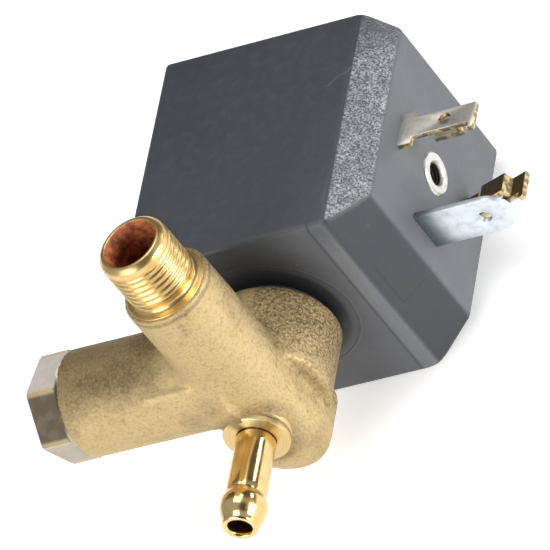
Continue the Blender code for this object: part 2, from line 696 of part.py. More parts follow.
def line_blade(name, side, lean, look):
    """A stamped blade: a root, a narrow blade with a hole and a hooked tip, and a wing folded inwards."""
    z = PIN_CENTRE_Z + side * PIN_SPACING / 2
    foot = Matrix.Translation((CONNECTOR_X, PIN_HEIGHT, z))
    leant = foot @ Matrix.Rotation(side * lean, 4, "Y")
    root, blade = PIN_ROOT / 2, PIN_BLADE / 2
    start = -PIN_BURIED if not lean else -PIN_THICKNESS / 4
    outline = [
        (start, -root), (PIN_ROOT_LENGTH, -root), (PIN_ROOT_LENGTH, -blade),
        (PIN_LENGTH - PIN_THICKNESS, -blade), (PIN_LENGTH - PIN_THICKNESS, -blade - PIN_TIP_DROP),
        (PIN_LENGTH, -blade - PIN_TIP_DROP), (PIN_LENGTH, blade), (PIN_ROOT_LENGTH, blade),
        (PIN_ROOT_LENGTH, root), (start, root),
    ]
    hole = arc((PIN_HOLE_AT, 0), PIN_HOLE_RADIUS, 0, 360 * 15 / 16, 15)
    terminal = outlined(name, [outline, hole], PIN_THICKNESS, PARTS, leant, look)
    if lean:
        edge = 0.05 * MM
        tall = root - edge
        buried = [(-PIN_BURIED, -tall), (edge, -tall), (edge, tall), (-PIN_BURIED, tall)]
        join(terminal, outlined(f"{name}_root", [buried], PIN_THICKNESS - 2 * edge, CUTTERS, foot))
    half = PIN_THICKNESS / 2
    wing = [
        (WING_START, WING_OFFSET - half), (WING_END - PIN_THICKNESS, WING_OFFSET - half),
        (WING_END - PIN_THICKNESS, 0), (WING_END, 0), (WING_END, WING_OFFSET + half),
        (WING_START, WING_OFFSET + half),
    ]
    inwards = Matrix.Rotation(side * -math.pi / 2, 4, "X")
    wing_height = PIN_BLADE - GAP
    join(terminal, outlined(f"{name}_wing", [wing], wing_height, CUTTERS, leant @ inwards))


def earth_blade():
    """A flat blade with a round end and a hole."""
    half = EARTH_WIDTH / 2
    outline = [(-PIN_BURIED, -half)] + arc((EARTH_LENGTH - half, 0), half, -90, 90, 12) + [(-PIN_BURIED, half)]
    hole = arc((EARTH_HOLE_AT, 0), PIN_HOLE_RADIUS, 0, 360 * 15 / 16, 15)
    turn = Matrix.Rotation(math.pi / 2, 4, "X")
    outlined("terminal_earth", [outline, hole], PIN_THICKNESS, PARTS,
             at(CONNECTOR_X, EARTH_HEIGHT, PIN_CENTRE_Z, turn), ZINC)


def connector():
    line_blade("terminal_line", 1, 0.0, TIN)
    line_blade("terminal_neutral", -1, NEUTRAL_LEAN, DULL_BRASS)
    earth_blade()
    edge = 0.3 * MM
    top, low = CONNECTOR_X + INSERT_PROUD, CONNECTOR_X - INSERT_DEPTH
    turned(
        "screw_insert",
        [
            (INSERT_BORE_RADIUS, top), (INSERT_RADIUS - edge, top), (INSERT_RADIUS, top - edge),
            (INSERT_RADIUS, low), (INSERT_BORE_RADIUS, low),
        ],
        PARTS, at(0, PIN_HEIGHT, PIN_CENTRE_Z, X_AXIS), NICKEL, MEDIUM, ring=True,
    )
    for side, word in ((1, "line"), (-1, "neutral")):
        z = PIN_CENTRE_Z + side * PIN_SPACING / 2
        cylinder(f"lead_wire_{word}", WIRE_RADIUS, wire_start(z) + GAP, CONNECTOR_X - PIN_BURIED - GAP,
                 PARTS, at(0, PIN_HEIGHT, z, X_AXIS), COPPER, 16)


def coil_nut():
    washer_low = COIL_HEIGHT + GAP
    hole = STUD_RADIUS + GAP
    tube("lock_washer", WASHER_RADIUS, hole, washer_low, washer_low + WASHER_THICKNESS, PARTS,
         on_axis(), STEEL, MEDIUM)
    nut = prism("coil_nut", 6, NUT_FLATS, NUT_LOW, NUT_LOW + NUT_HEIGHT, PARTS, on_axis(), NICKEL)
    cut(nut, cylinder("nut_bore", hole, NUT_LOW - MM, NUT_LOW + NUT_HEIGHT + MM, CUTTERS, on_axis()))


clear_scene()
PARTS = collection("solenoid_valve")
CUTTERS = collection("cutters")
FRAME = bpy.data.objects.new("valve_frame", None)
PARTS.objects.link(FRAME)
FRAME.location = (0.0, -ORIGIN_HEIGHT, 0.0)

BRASS = material("forged_brass", (0.62, 0.50, 0.30), 0.55, 1.0)
TURNED_BRASS = material("turned_brass", (0.78, 0.60, 0.28), 0.2, 1.0)
STEEL = material("stainless_steel", (0.60, 0.60, 0.60), 0.3, 1.0)
MAGNET_STEEL = material("yoke_steel", (0.35, 0.35, 0.36), 0.5, 1.0)
SPRING_STEEL = material("spring_steel", (0.5, 0.5, 0.52), 0.3, 1.0)
NICKEL = material("nickel_plate", (0.75, 0.73, 0.68), 0.25, 1.0)
TIN = material("tin_plate", (0.66, 0.67, 0.66), 0.35, 1.0)
ZINC = material("zinc_plate", (0.72, 0.76, 0.80), 0.35, 1.0)
DULL_BRASS = material("dull_brass", (0.42, 0.33, 0.16), 0.5, 1.0)
COPPER = material("copper", (0.72, 0.33, 0.18), 0.35, 1.0)
RUBBER = material("rubber", (0.03, 0.03, 0.03), 0.8, 0.0)
RESIN = material("coil_resin", (0.075, 0.082, 0.10), 0.5, 0.0)
NYLON = material("bobbin_nylon", (0.75, 0.73, 0.66), 0.5, 0.0)
TAPE_YELLOW = material("winding_tape", (0.7, 0.5, 0.08), 0.5, 0.0)

valve_body()
hose_barb()
seat_nozzle()
guide_collar()
guide_tube()
tube_seal()
fixed_core()
shading_ring()
plunger()
plunger_seal()
plunger_spring()
coil_gasket()
coil_housing()
yoke_frame()
bobbin()
winding()
connector()
coil_nut()
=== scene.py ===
"""Finished look of a small solenoid valve, built round its frame.

A forged brass body carries a threaded inlet, a hexagon side port and a hose barb. A moulded coil
stands on it, with a three-blade connector. The frame's +Y runs up the plunger's axis, +X points out
of the connector, and the coil lies on its back. Sizes are in metres, and in millimetres where named.
"""

import math
from contextlib import contextmanager

import bmesh
import bpy
from bpy.props import FloatProperty, FloatVectorProperty, PointerProperty
from bpy.types import Operator, Panel, PropertyGroup
from mathutils import Matrix, Vector


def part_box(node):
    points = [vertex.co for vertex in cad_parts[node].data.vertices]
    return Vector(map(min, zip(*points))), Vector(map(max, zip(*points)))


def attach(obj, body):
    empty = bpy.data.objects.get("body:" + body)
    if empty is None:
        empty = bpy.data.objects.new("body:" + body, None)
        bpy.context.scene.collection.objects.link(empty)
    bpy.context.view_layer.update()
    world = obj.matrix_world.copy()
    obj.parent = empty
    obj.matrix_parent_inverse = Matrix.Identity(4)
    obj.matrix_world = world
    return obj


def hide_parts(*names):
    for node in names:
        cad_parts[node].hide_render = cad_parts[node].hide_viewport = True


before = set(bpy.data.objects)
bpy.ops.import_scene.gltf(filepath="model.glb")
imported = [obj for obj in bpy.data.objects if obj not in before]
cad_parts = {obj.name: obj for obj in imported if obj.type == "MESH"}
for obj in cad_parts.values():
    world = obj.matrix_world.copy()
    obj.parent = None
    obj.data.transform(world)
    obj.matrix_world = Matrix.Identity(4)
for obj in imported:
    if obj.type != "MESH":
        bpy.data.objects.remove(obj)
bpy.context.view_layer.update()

bl_info = {
    "name": "Solenoid Valve",
    "version": (1, 0, 0),
    "blender": (4, 5, 0),
    "location": "View3D > Sidebar > Valve",
    "description": "Builds the finished look of a small solenoid valve round its frame",
    "category": "Add Mesh",
}

MM = 0.001
TO_MM = 1000.0
HOUSING_LOW, HOUSING_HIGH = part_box("coil_housing")
BARB_LOW, BARB_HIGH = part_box("hose_barb")
BODY_LOW, BODY_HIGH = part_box("valve_body")
AXIS_Z = (BARB_LOW.z + BARB_HIGH.z) / 2  # height of the plunger's axis
ARM_Y = HOUSING_LOW.y - 13.2 * MM  # axis of the inlet arm and of the side arm
SIDE_HEIGHT = 23.2  # of the side arm's axis above the coil's back, in millimetres
ROUND_STEPS = 96
FIXED_BODY = "valve"
OPENING = (0.48, -0.61, 0.63)  # direction of the dark front opening of the light tent

ALONG_X = Matrix.Rotation(math.pi / 2, 4, "Y")
ALONG_MINUS_X = Matrix.Rotation(-math.pi / 2, 4, "Y")
ALONG_Y = Matrix.Rotation(-math.pi / 2, 4, "X")
VALVE_AXIS = Matrix.Translation((0, 0, AXIS_Z)) @ ALONG_Y

LENS = 402.3
CAMERA_PLACE = Vector((0.380716, -0.501132, 0.520398))
CAMERA_RIGHT = Vector((0.8520, 0.1486, -0.5020))
CAMERA_UP = Vector((0.2141, 0.7761, 0.5931))
LIGHTS_AIM = Vector((0.0, -0.012, 0.016))


def size(name, description, millimetres):
    return FloatProperty(name=name, description=description, default=millimetres * MM,
                         unit="LENGTH", precision=5)


def shade(name, description, colour):
    return FloatVectorProperty(name=name, description=description, default=colour,
                               subtype="COLOR", min=0.0, max=1.0)


class ValveSizes(PropertyGroup):
    arm_radius: size("Arm radius", "Radius of the forged inlet arm", 6.05)
    boss_radius: size("Boss radius", "Radius of the round boss under the coil", 8.5)
    side_radius: size("Side arm radius", "Radius of the forged side arm", 7.15)
    side_height: size("Side arm height", "Height of the side arm's axis above the coil's back", SIDE_HEIGHT)
    forging_blend: size("Forging blend", "How softly the forged shapes run into each other", 1.5)
    thread_radius: size("Inlet thread radius", "Radius at the crests of the inlet thread", 4.86)
    thread_pitch: size("Pipe thread pitch", "Rise of one turn of the pipe threads", 0.907)
    thread_depth: size("Pipe thread depth", "From crest to root of the pipe threads", 0.26)
    inlet_bore: size("Inlet bore radius", "Radius of the inlet's bore", 3.35)
    side_bore: size("Side bore radius", "Radius of the side port's bore", 4.3)
    hexagon_flats: size("Hexagon across flats", "Width of the side port's hexagon", 12.7)
    barb_radius: size("Barb tube radius", "Radius of the hose barb's tube", 2.65)
    bulb_radius: size("Barb bulb radius", "Radius of the hose barb's bulb", 3.05)
    coil_rounding: size("Coil edge rounding", "Rounding of the moulded coil's edges", 0.75)
    blade_rounding: size("Blade rounding", "Rounding of the stamped blades' edges", 0.08)
    nut_flats: size("Nut across flats", "Width of the coil's nut", 10.0)
    stud_pitch: size("Stud thread pitch", "Rise of one turn of the stud's thread", 1.0)


class ValveColours(PropertyGroup):
    forged_brass: shade("Forged brass", "Blasted skin of the forging", (0.59, 0.455, 0.238))
    # Brown brass, also used as painted shade in the forging's hollows, on the hexagon and beside the neck's
    # sheen.
    brown_brass_and_shade: shade("Dark brass", "Brown skin of the boss and of the hollows", (0.23, 0.155, 0.07))
    turned_brass: shade("Turned brass", "Bright machined brass", (0.84, 0.63, 0.29))
    # Partly painted shade: dull brass made this dark for the shadow the bent blade lies in.
    dull_brass: shade("Dull brass", "Darkened strip of the bent blade", (0.14, 0.10, 0.042))
    resin: shade("Coil resin", "Slate grey moulding", (0.050, 0.056, 0.066))
    # Dust on the coil, also painted light on its end and underside.
    dusty_and_lit_resin: shade("Pale resin", "Scuffed and dusty resin", (0.145, 0.15, 0.16))
    tin: shade("Tin plate", "Tinned blade", (0.80, 0.77, 0.69))
    zinc: shade("Zinc plate", "Bluish plated earth blade", (0.74, 0.80, 0.86))
    nickel: shade("Nickel plate", "Insert and nut", (0.80, 0.78, 0.73))
    steel: shade("Stainless steel", "Guide tube, core and plunger", (0.60, 0.60, 0.60))
    yoke: shade("Yoke steel", "Magnet frame", (0.34, 0.34, 0.35))
    copper: shade("Copper", "Winding, shading ring and leads", (0.72, 0.33, 0.18))
    rubber: shade("Rubber", "Seals and gasket", (0.025, 0.025, 0.026))
    nylon: shade("Nylon", "Bobbin", (0.74, 0.72, 0.64))
    tape: shade("Winding tape", "Polyester tape", (0.66, 0.46, 0.08))


# ---------------------------------------------------------------- nodes written as expressions

class Wire:
    """A socket's output. Its operators add Math nodes for plain values."""

    def __init__(self, maker, socket):
        self.maker, self.socket = maker, socket

    def __add__(self, other):
        return self.maker.math("ADD", self, other)

    def __sub__(self, other):
        return self.maker.math("SUBTRACT", self, other)

    def __mul__(self, other):
        return self.maker.math("MULTIPLY", self, other)

    def __truediv__(self, other):
        return self.maker.math("DIVIDE", self, other)

    def __rsub__(self, other):
        return self.maker.math("SUBTRACT", other, self)

    def __neg__(self):
        return self.maker.math("MULTIPLY", self, -1.0)

    def __abs__(self):
        return self.maker.math("ABSOLUTE", self)

    __radd__, __rmul__ = __add__, __mul__


class Maker:
    """Adds nodes to one tree, of a material or of Geometry Nodes."""

    def __init__(self, tree):
        self.tree = tree

    def node(self, kind, settings=None, inputs=None, output=0):
        made = self.tree.nodes.new(kind)
        for key, value in (settings or {}).items():
            setattr(made, key, value)
        for key, value in (inputs or {}).items():
            self.feed(made.inputs[key], value)
        return Wire(self, made.outputs[output])

    def feed(self, socket, value):
        if isinstance(value, Wire):
            self.tree.links.new(value.socket, socket)
        else:
            socket.default_value = value

    def math(self, operation, *values):
        return self.node("ShaderNodeMath", {"operation": operation}, dict(enumerate(values)))

    def vector(self, operation, *values, output=0):
        return self.node("ShaderNodeVectorMath", {"operation": operation}, dict(enumerate(values)),
                         output)

    def parts(self, vector):
        split = self.tree.nodes.new("ShaderNodeSeparateXYZ")
        self.feed(split.inputs[0], vector)
        return [Wire(self, output) for output in split.outputs]

    def joined(self, x, y, z):
        return self.node("ShaderNodeCombineXYZ", inputs={0: x, 1: y, 2: z})

    def distance(self, x, y):
        return self.math("SQRT", x * x + y * y)

    def least(self, first, second, softness=0.0):
        return self.math("SMOOTH_MIN", first, second, softness)

    def most(self, first, second, softness=0.0):
        return self.math("SMOOTH_MAX", first, second, softness)

    def ramp(self, value, start, end, low=0.0, high=1.0):
        """From low to high as the value goes from start to end, with soft ends."""
        return self.node("ShaderNodeMapRange", {"interpolation_type": "SMOOTHSTEP"},
                         {0: value, 1: start, 2: end, 3: low, 4: high})

    def millimetres(self):
        """The surface's own place, in millimetres."""
        place = self.node("ShaderNodeTexCoord", output="Object")
        return self.vector("MULTIPLY", place, (TO_MM,) * 3)

    def facing(self):
        """The surface's own direction."""
        return self.node("ShaderNodeTexCoord", output="Normal")

    def noise(self, place, scale, detail=2.0, roughness=0.5):
        return self.node("ShaderNodeTexNoise", {"noise_dimensions": "3D"},
                         {"Vector": place, "Scale": scale, "Detail": detail, "Roughness": roughness})

    def rings(self, value, scale, detail=3.0):
        """Noise that changes along one value only, as a tool's marks do."""
        return self.node("ShaderNodeTexNoise", {"noise_dimensions": "1D"},
                         {"W": value, "Scale": scale, "Detail": detail, "Roughness": 0.6})

    def mix(self, factor, first, second):
        colours = {0: factor, 6: self.solid(first), 7: self.solid(second)}
        return self.node("ShaderNodeMix", {"data_type": "RGBA"}, colours, 2)

    @staticmethod
    def solid(colour):
        return colour if isinstance(colour, Wire) else (*colour, 1.0)

    def bump(self, height, millimetres, below=None):
        inputs = {"Height": height, "Distance": millimetres * MM, "Strength": 1.0}
        if below:
            inputs["Normal"] = below
        return self.node("ShaderNodeBump", inputs=inputs)


def tinted(colour, *factors):
    """A colour scaled by one factor, or by one for each channel."""
    return tuple(c * k for c, k in zip(colour, factors if len(factors) == 3 else factors * 3))


def finish(name, recipe):
    """A material whose Principled sockets come from a recipe, made once."""
    if name in bpy.data.materials and bpy.data.materials[name].get("valve_finish"):
        return bpy.data.materials[name]
    look = bpy.data.materials.new(name)
    look.name = name
    look["valve_finish"] = True
    look.use_nodes = True
    shader = look.node_tree.nodes["Principled BSDF"]
    maker = Maker(look.node_tree)
    for socket, value in recipe(maker, bpy.context.scene.valve_colours).items():
        maker.feed(shader.inputs[socket], value)
    return look


def forged_brass(m, colours):
    """Blasted forging: pale and even on the arms, brown and coarse on the boss, painted shade in the
    hollows and on the side arm's top, a painted shadow line and burr under the inlet's shoulder, a painted
    highlight on the parting line."""
    place = m.millimetres()
    x, y, z = m.parts(place)
    facing = m.parts(m.facing())
    cloud = m.noise(place, 0.16, 3.0)
    mottle = m.noise(place, 0.75, 4.0, 0.65)
    grain = m.noise(place, 2.6, 3.0, 0.7)
    boss = m.ramp(y + (mottle - 0.5) * 9.0, -33.5, -24.0) * m.ramp(x, 0.5, 2.5)
    pits = m.node("ShaderNodeTexVoronoi", inputs={"Vector": place, "Scale": 2.2})
    side = m.ramp(x, -6.5, -9.0)
    # Painted shade: the side arm's top, facing up, is darkened.
    painted_top_lighting = side * m.ramp(facing[2] * 0.8 + facing[1] * 0.6, -0.45, 0.40) * 0.62
    # Painted shade in the crotch between the side arm and the inlet arm.
    corner = m.ramp(m.distance(x + 8.5, y + 29.0), 5.0, 1.5) * m.ramp(z, 26.0, 30.0) * 0.5
    # Painted shadow line under the inlet's machined shoulder, partly a brown burr.
    line = m.ramp(abs(z - 40.05), 0.45, 0.15) * 0.55
    # Painted shade round the foot of the neck on the lobe.
    neck = m.ramp(m.distance(x, z - AXIS_Z / MM), 6.8, 4.6) * m.ramp(y, -33.5, -36.2) * 0.6
    # Painted highlight along the forged parting-line ridge, over the real ridge.
    seam_low, seam_height = 5.86, 27.30  # under the arm's axis, and above the coil's back
    seam = m.distance(y - ARM_Y / MM + seam_low, z - seam_height)
    seam = m.ramp(seam, 1.0, 0.5) * m.ramp(x, -11.0, -10.0) * m.ramp(x, -2.4, -3.2)
    stain = m.ramp(cloud, 0.50, 0.66) * 0.30 + m.ramp(mottle, 0.56, 0.72) * 0.34
    # Stains, the boss's brown and the painted shade above, summed into one mask.
    age_and_shade = m.math("MINIMUM", boss * 0.78 + stain + painted_top_lighting + corner + line + neck, 1.0)
    skin = m.mix(age_and_shade, colours.forged_brass, colours.brown_brass_and_shade)
    # Paler brass for grain flecks and for the parting line's painted highlight.
    light = tuple(min(1.0, c * 1.2) for c in colours.forged_brass)
    skin = m.mix(seam * 0.7, skin, light)
    colour = m.mix(m.ramp(grain, 0.44, 0.68) * (0.25 + boss * 0.35), skin, light)
    pit_colour = tinted(colours.brown_brass_and_shade, 0.4)
    colour = m.mix(m.ramp(grain, 0.52, 0.34) * (0.20 + boss * 0.55), colour, pit_colour)
    waves = m.bump(mottle, 0.16)
    fine = m.bump(grain + m.ramp(pits, 0.0, 0.35) * 0.6, 0.075, waves)
    return {"Base Color": colour, "Metallic": 0.85 - age_and_shade * 0.25,
            "Roughness": 0.58 + mottle * 0.12 - boss * 0.1, "Normal": fine}


def faced_brass(m, colours):
    """Faced neck: turned rings, with a painted sheen: a bright streak and painted dark bands on both sides
    of it.
    """
    place = m.millimetres()
    x, _, z = m.parts(place)
    across = z - AXIS_Z / MM
    rings = m.rings(m.distance(x, across), 7.0)
    # Painted sheen: a bright streak on the face and darker bands on both sides, set by angle.
    angle = abs(m.math("ARCTAN2", x, across) - 0.35)
    painted_sheen_streak = m.ramp(angle, 0.42, 0.22)
    painted_sheen_dark_bands = m.ramp(angle, 0.40, 0.55) * m.ramp(angle, 1.0, 0.7)
    base = tinted(colours.turned_brass, 0.86)
    colour = m.mix(painted_sheen_dark_bands * 0.75, base, colours.brown_brass_and_shade)
    colour = m.mix(painted_sheen_streak * 0.7, colour, (1.0, 0.88, 0.60))
    colour = m.mix(m.ramp(rings, 0.55, 0.75) * 0.4, colour, colours.brown_brass_and_shade)
    return {"Base Color": colour, "Metallic": 0.9, "Roughness": 0.36 + rings * 0.1,
            "Normal": m.bump(rings, 0.02)}


def turned_brass(direction, colour_name="turned_brass", roughness=0.17, marks=0.004):
    """Bright brass with the tool's fine rings across one direction."""

    def recipe(m, colours):
        place = m.millimetres()
        along = m.vector("DOT_PRODUCT", place, direction, output="Value")
        rings = m.rings(along, 5.0)
        cloud = m.noise(place, 0.55, 3.0)
        base = getattr(colours, colour_name)
        warm = tinted(base, 0.86, 0.74, 0.55)
        colour = m.mix(m.ramp(cloud, 0.35, 0.75) * 0.7, base, warm)
        rough = roughness + m.ramp(cloud, 0.4, 0.8) * 0.12 + rings * 0.08
        return {"Base Color": colour, "Metallic": 1.0, "Roughness": rough,
                "Normal": m.bump(rings, marks)}

    return recipe


def inlet_brass(m, colours):
    """Bright thread outside, reddish brown deposit in the bore."""
    place = m.millimetres()
    x, y, z = m.parts(place)
    radius = m.distance(x, y - ARM_Y / MM)
    inside = m.ramp(radius, 3.74, 3.66)
    rings = m.rings(z, 6.0)
    cloud = m.noise(place, 0.8, 4.0, 0.6)
    warm = tinted(colours.turned_brass, 0.76, 0.62, 0.42)
    bright = m.mix(m.ramp(cloud, 0.4, 0.75) * 0.6 + 0.3, colours.turned_brass, warm)
    deposit = m.mix(m.ramp(cloud, 0.35, 0.65), (0.62, 0.20, 0.065), (0.22, 0.055, 0.026))
    colour = m.mix(inside, bright, deposit)
    grit = m.bump(cloud * inside, 0.12, m.bump(rings, 0.004))
    return {"Base Color": colour, "Metallic": 1.0 - inside * 0.75,
            "Roughness": 0.29 + inside * 0.31 + cloud * 0.08, "Normal": grit}


def milled_brass(m, colours):
    """Milled hexagon with cutter marks, with painted light: a pale top flat, painted shade darkest on the
    front flat nearest the top, on the low flat and in the bore's mouth.
    """
    place = m.millimetres()
    x, y, z = m.parts(place)
    across, up = m.parts(m.facing())[1:]
    marks = m.rings(x, 4.0)
    cloud = m.noise(place, 0.5, 3.0)
    mottle = m.noise(place, 1.6, 4.0, 0.7)
    base = tinted(colours.turned_brass, 0.74, 0.88, 1.55)
    # Painted shade on the front flat nearest the top and on the low flat; painted highlight on the top
    # flat.
    dark = m.ramp(up * 0.766 - across * 0.643, 0.78, 0.92)
    painted_top_lighting = m.ramp(up * 0.940 + across * 0.342, 0.78, 0.92)
    lower = m.ramp(-across * 0.985 - up * 0.174, 0.78, 0.92)
    # Painted shade inside the bore's mouth.
    mouth = m.ramp(m.distance(y - ARM_Y / MM, z - SIDE_HEIGHT), 4.75, 4.55)
    tone_and_painted_shade = m.ramp(cloud, 0.35, 0.7) * 0.10 + dark * 0.95 + mouth * 0.45 + lower * 0.28
    tone_and_painted_shade = m.math("MINIMUM", tone_and_painted_shade, 1.0)
    # Painted highlight: the top flat is painted pale and less metallic.
    base = m.mix(painted_top_lighting, base, (0.95, 0.86, 0.77))
    colour = m.mix(tone_and_painted_shade, base, tinted(colours.brown_brass_and_shade, 0.36))
    spots = m.ramp(mottle, 0.55, 0.75) * (0.2 - dark * 0.15)
    colour = m.mix(spots, colour, tinted(colours.brown_brass_and_shade, 0.9))
    from_axis = m.distance(y - ARM_Y / MM, z - SIDE_HEIGHT)
    edge = m.ramp(from_axis, 6.95, 7.2) * (1.0 - m.ramp(x, -23.3, -23.0))
    colour = m.mix(edge * 0.45, colour, (0.80, 0.62, 0.34))
    return {"Base Color": colour, "Metallic": 0.8 - tone_and_painted_shade * 0.55 - painted_top_lighting * 0.55,
            "Roughness": 0.42 + cloud * 0.14,
            "Normal": m.bump(marks, 0.012, m.bump(mottle, 0.03))}


def coil_resin(m, colours):
    """Slate moulding: cloudy and scuffed, a rough sparkling slope high on its front, its end and underside
    painted paler as painted light, painted shade on the lower slope, a painted shadow round the boss.
    """
    place = m.millimetres()
    x, y, z = m.parts(place)
    cloud = m.noise(place, 0.12, 4.0, 0.6)
    mottle = m.noise(place, 0.7, 5.0, 0.65)
    grain = m.noise(place, 3.0, 2.0)
    streaks = m.noise(m.joined(x * 1.3, y * 0.12, z * 1.3), 0.8, 4.0, 0.7)
    end, front = HOUSING_HIGH.x / MM, HOUSING_HIGH.z / MM
    slope = m.ramp((x - end) * 0.498 + (z - front + 2.7) * 0.867, -0.30, -0.08)
    slope = slope * m.ramp(x, 15.1, 15.4) * m.ramp(y + (x - 15.25) * -1.19, -18.2, -17.2)
    # Painted light: the connector's end face is painted paler for the light it catches.
    face = m.ramp(x, end - 0.35, end - 0.05)
    # Painted light: the underside is painted paler for the light it gets.
    under = m.ramp(y, -17.0, -17.6) * m.ramp(x, 15.6, 14.6)
    # The lower slope, painted darker as painted shade.
    shaded_low_slope = m.ramp(x, 14.9, 15.4) * m.ramp(x, end - 0.05, end - 0.35) * (1.0 - slope)
    tint = m.mix(m.noise(place, 0.35, 2.0), tinted(colours.resin, 0.86, 1.05, 1.04),
                 tinted(colours.resin, 1.08, 0.96, 1.04))
    dust = m.ramp(streaks, 0.55, 0.8) * m.ramp(x, 6.0, 13.0) * 0.35
    dust = m.ramp(mottle, 0.45, 0.75) * 0.14 + dust
    crack = m.ramp(abs(y - 7.2 - (x - 13.6) * 0.65 + (mottle - 0.5) * 2.0), 0.16, 0.05)
    crack = crack * m.ramp(x, 11.3, 12.4) * m.ramp(z, front - 0.4, front - 0.1)
    base = m.mix(cloud * 0.22 + dust + crack * 0.8, tint, colours.dusty_and_lit_resin)
    base = m.mix(face * (0.52 + (cloud - 0.5) * 0.6), base, tinted(colours.dusty_and_lit_resin, 1.1))
    base = m.mix(under * (0.22 + cloud * 0.3), base, colours.dusty_and_lit_resin)
    base = m.mix(shaded_low_slope * 0.7, base, tinted(colours.resin, 0.42))
    # Painted highlight: a pale streak along the underside's rounded edge.
    strip = m.ramp(x, 12.4, 13.2) * m.ramp(x, 15.2, 14.8) * under * m.ramp(z, 30.5, 24.0)
    base = m.mix(strip * (0.35 + cloud * 0.3), base, tinted(colours.dusty_and_lit_resin, 1.25))
    lip = m.ramp(abs(x - 12.7), 0.35, 0.1) * under
    base = m.mix(lip * 0.5, base, tinted(colours.resin, 0.4))
    # Painted shadow: a dark ring round the boss's top and the arm's shadow spread over the underside.
    ring = m.distance(x, z - AXIS_Z / MM)
    shadow = m.distance(x + 2.6, z - AXIS_Z / MM - 3.2)
    painted_boss_shadow = m.ramp(ring, 10.0, 8.7) * 0.7 + m.ramp(shadow, 16.5, 7.5) * 0.8
    painted_boss_shadow = m.math("MINIMUM", painted_boss_shadow, 0.9) * m.ramp(y, -17.0, -17.6)
    base = m.mix(painted_boss_shadow, base, tinted(colours.resin, 0.22))
    seam = m.ramp(abs(z - 12.1), 0.16, 0.05) * m.ramp(y, -16.9, -16.6) * m.ramp(y, -13.4, -13.8)
    foot = m.ramp(abs(y + 16.7), 0.14, 0.05) * m.ramp(z, 11.9, 12.2) * m.ramp(z, 21.0, 18.0)
    base = m.mix((seam + foot) * shaded_low_slope * 0.45, base, tinted(colours.resin, 0.25))
    speck = m.noise(place, 3.6, 3.0, 0.7)
    fade = 1.0 - m.ramp(y, 9.0, 16.5) * 0.6
    rough_band = m.mix(m.ramp(speck, 0.38, 0.64), tinted(colours.resin, 1.4), (0.52, 0.52, 0.55))
    colour = m.mix(slope * fade * (0.45 + m.ramp(mottle, 0.35, 0.65) * 0.5), base, rough_band)
    low = m.bump(mottle, 0.05)
    fine = m.bump(grain * 0.25 + slope * speck * 2.4, 0.035, low)
    return {"Base Color": colour, "Roughness": 0.42 + mottle * 0.16 + slope * 0.1, "Normal": fine}


def plated(colour_name, thickness=None, edge=(0.78, 0.62, 0.33), roughness=0.34, painted_reflection_root=None):
    """Plated strip. Across its thickness, where it was cut, the brass under the plating shows."""

    def recipe(m, colours):
        place = m.millimetres()
        base = getattr(colours, colour_name)
        cloud = m.noise(place, 0.7, 4.0, 0.6)
        drawn = m.noise(m.vector("MULTIPLY", place, (0.35, 4.0, 4.0)), 1.6, 3.0)
        worn = tinted(base, 0.62)
        colour = m.mix(m.ramp(cloud, 0.42, 0.72) * 0.6, base, worn)
        # Painted reflection: the blade is darkened near the moulding, where it mirrors the dark resin.
        if painted_reflection_root:
            colour = m.mix(m.ramp(m.parts(place)[0], painted_reflection_root + 4.2, painted_reflection_root + 0.6) * 0.75, colour,
                           tinted(base, 0.15, 0.19, 0.20))
        if thickness:
            across = abs(m.vector("DOT_PRODUCT", m.facing(), thickness, output="Value"))
            cut = m.mix(m.ramp(m.noise(place, 0.9, 3.0), 0.46, 0.58), tinted(edge, 0.34), edge)
            colour = m.mix(m.ramp(across, 0.72, 0.40), colour, cut)
        return {"Base Color": colour, "Metallic": 0.92, "Roughness": roughness + cloud * 0.16,
                "Normal": m.bump(drawn, 0.01)}

    return recipe


def insert_nickel(m, colours):
    """Bright ring round a threaded hole painted dark inside as painted shade."""
    place = m.millimetres()
    x, y, z = m.parts(place)
    low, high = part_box("screw_insert")
    middle = (low + high) / (2 * MM)
    radius = m.distance(y - middle.y, z - middle.z)
    # Painted shade inside the hole.
    inside = m.ramp(radius, 1.8, 1.68) * m.ramp(x, high.x / MM - 0.05, high.x / MM - 0.5)
    grime = m.ramp(m.noise(place, 1.4, 3.0), 0.45, 0.7) * 0.35
    colour = m.mix(grime, colours.nickel, tinted(colours.nickel, 0.5))
    colour = m.mix(inside, colour, (0.035, 0.030, 0.030))
    return {"Base Color": colour, "Metallic": 0.9 - inside * 0.4, "Roughness": 0.3 + inside * 0.3,
            "Normal": m.bump(m.rings(radius, 5.0), 0.006)}


def plain_metal(colour_name, roughness, marks=0.006):
    def recipe(m, colours):
        place = m.millimetres()
        base = getattr(colours, colour_name)
        cloud = m.noise(place, 0.5, 3.0)
        rings = m.rings(m.parts(place)[1], 6.0)
        colour = m.mix(cloud * 0.5, base, tinted(base, 0.75))
        return {"Base Color": colour, "Metallic": 1.0, "Roughness": roughness + cloud * 0.1,
                "Normal": m.bump(rings, marks)}

    return recipe


def wound_copper(m, colours):
    """Enamelled turns seen as fine even ridges along the axis."""
    place = m.millimetres()
    y = m.parts(place)[1]
    turns = m.math("SINE", y * (math.tau / 0.35))
    cloud = m.noise(place, 0.8, 2.0)
    colour = m.mix(cloud * 0.6, colours.copper, tinted(colours.copper, 0.55))
    return {"Base Color": colour, "Metallic": 1.0, "Roughness": 0.3 + cloud * 0.1,
            "Normal": m.bump(turns, 0.05)}


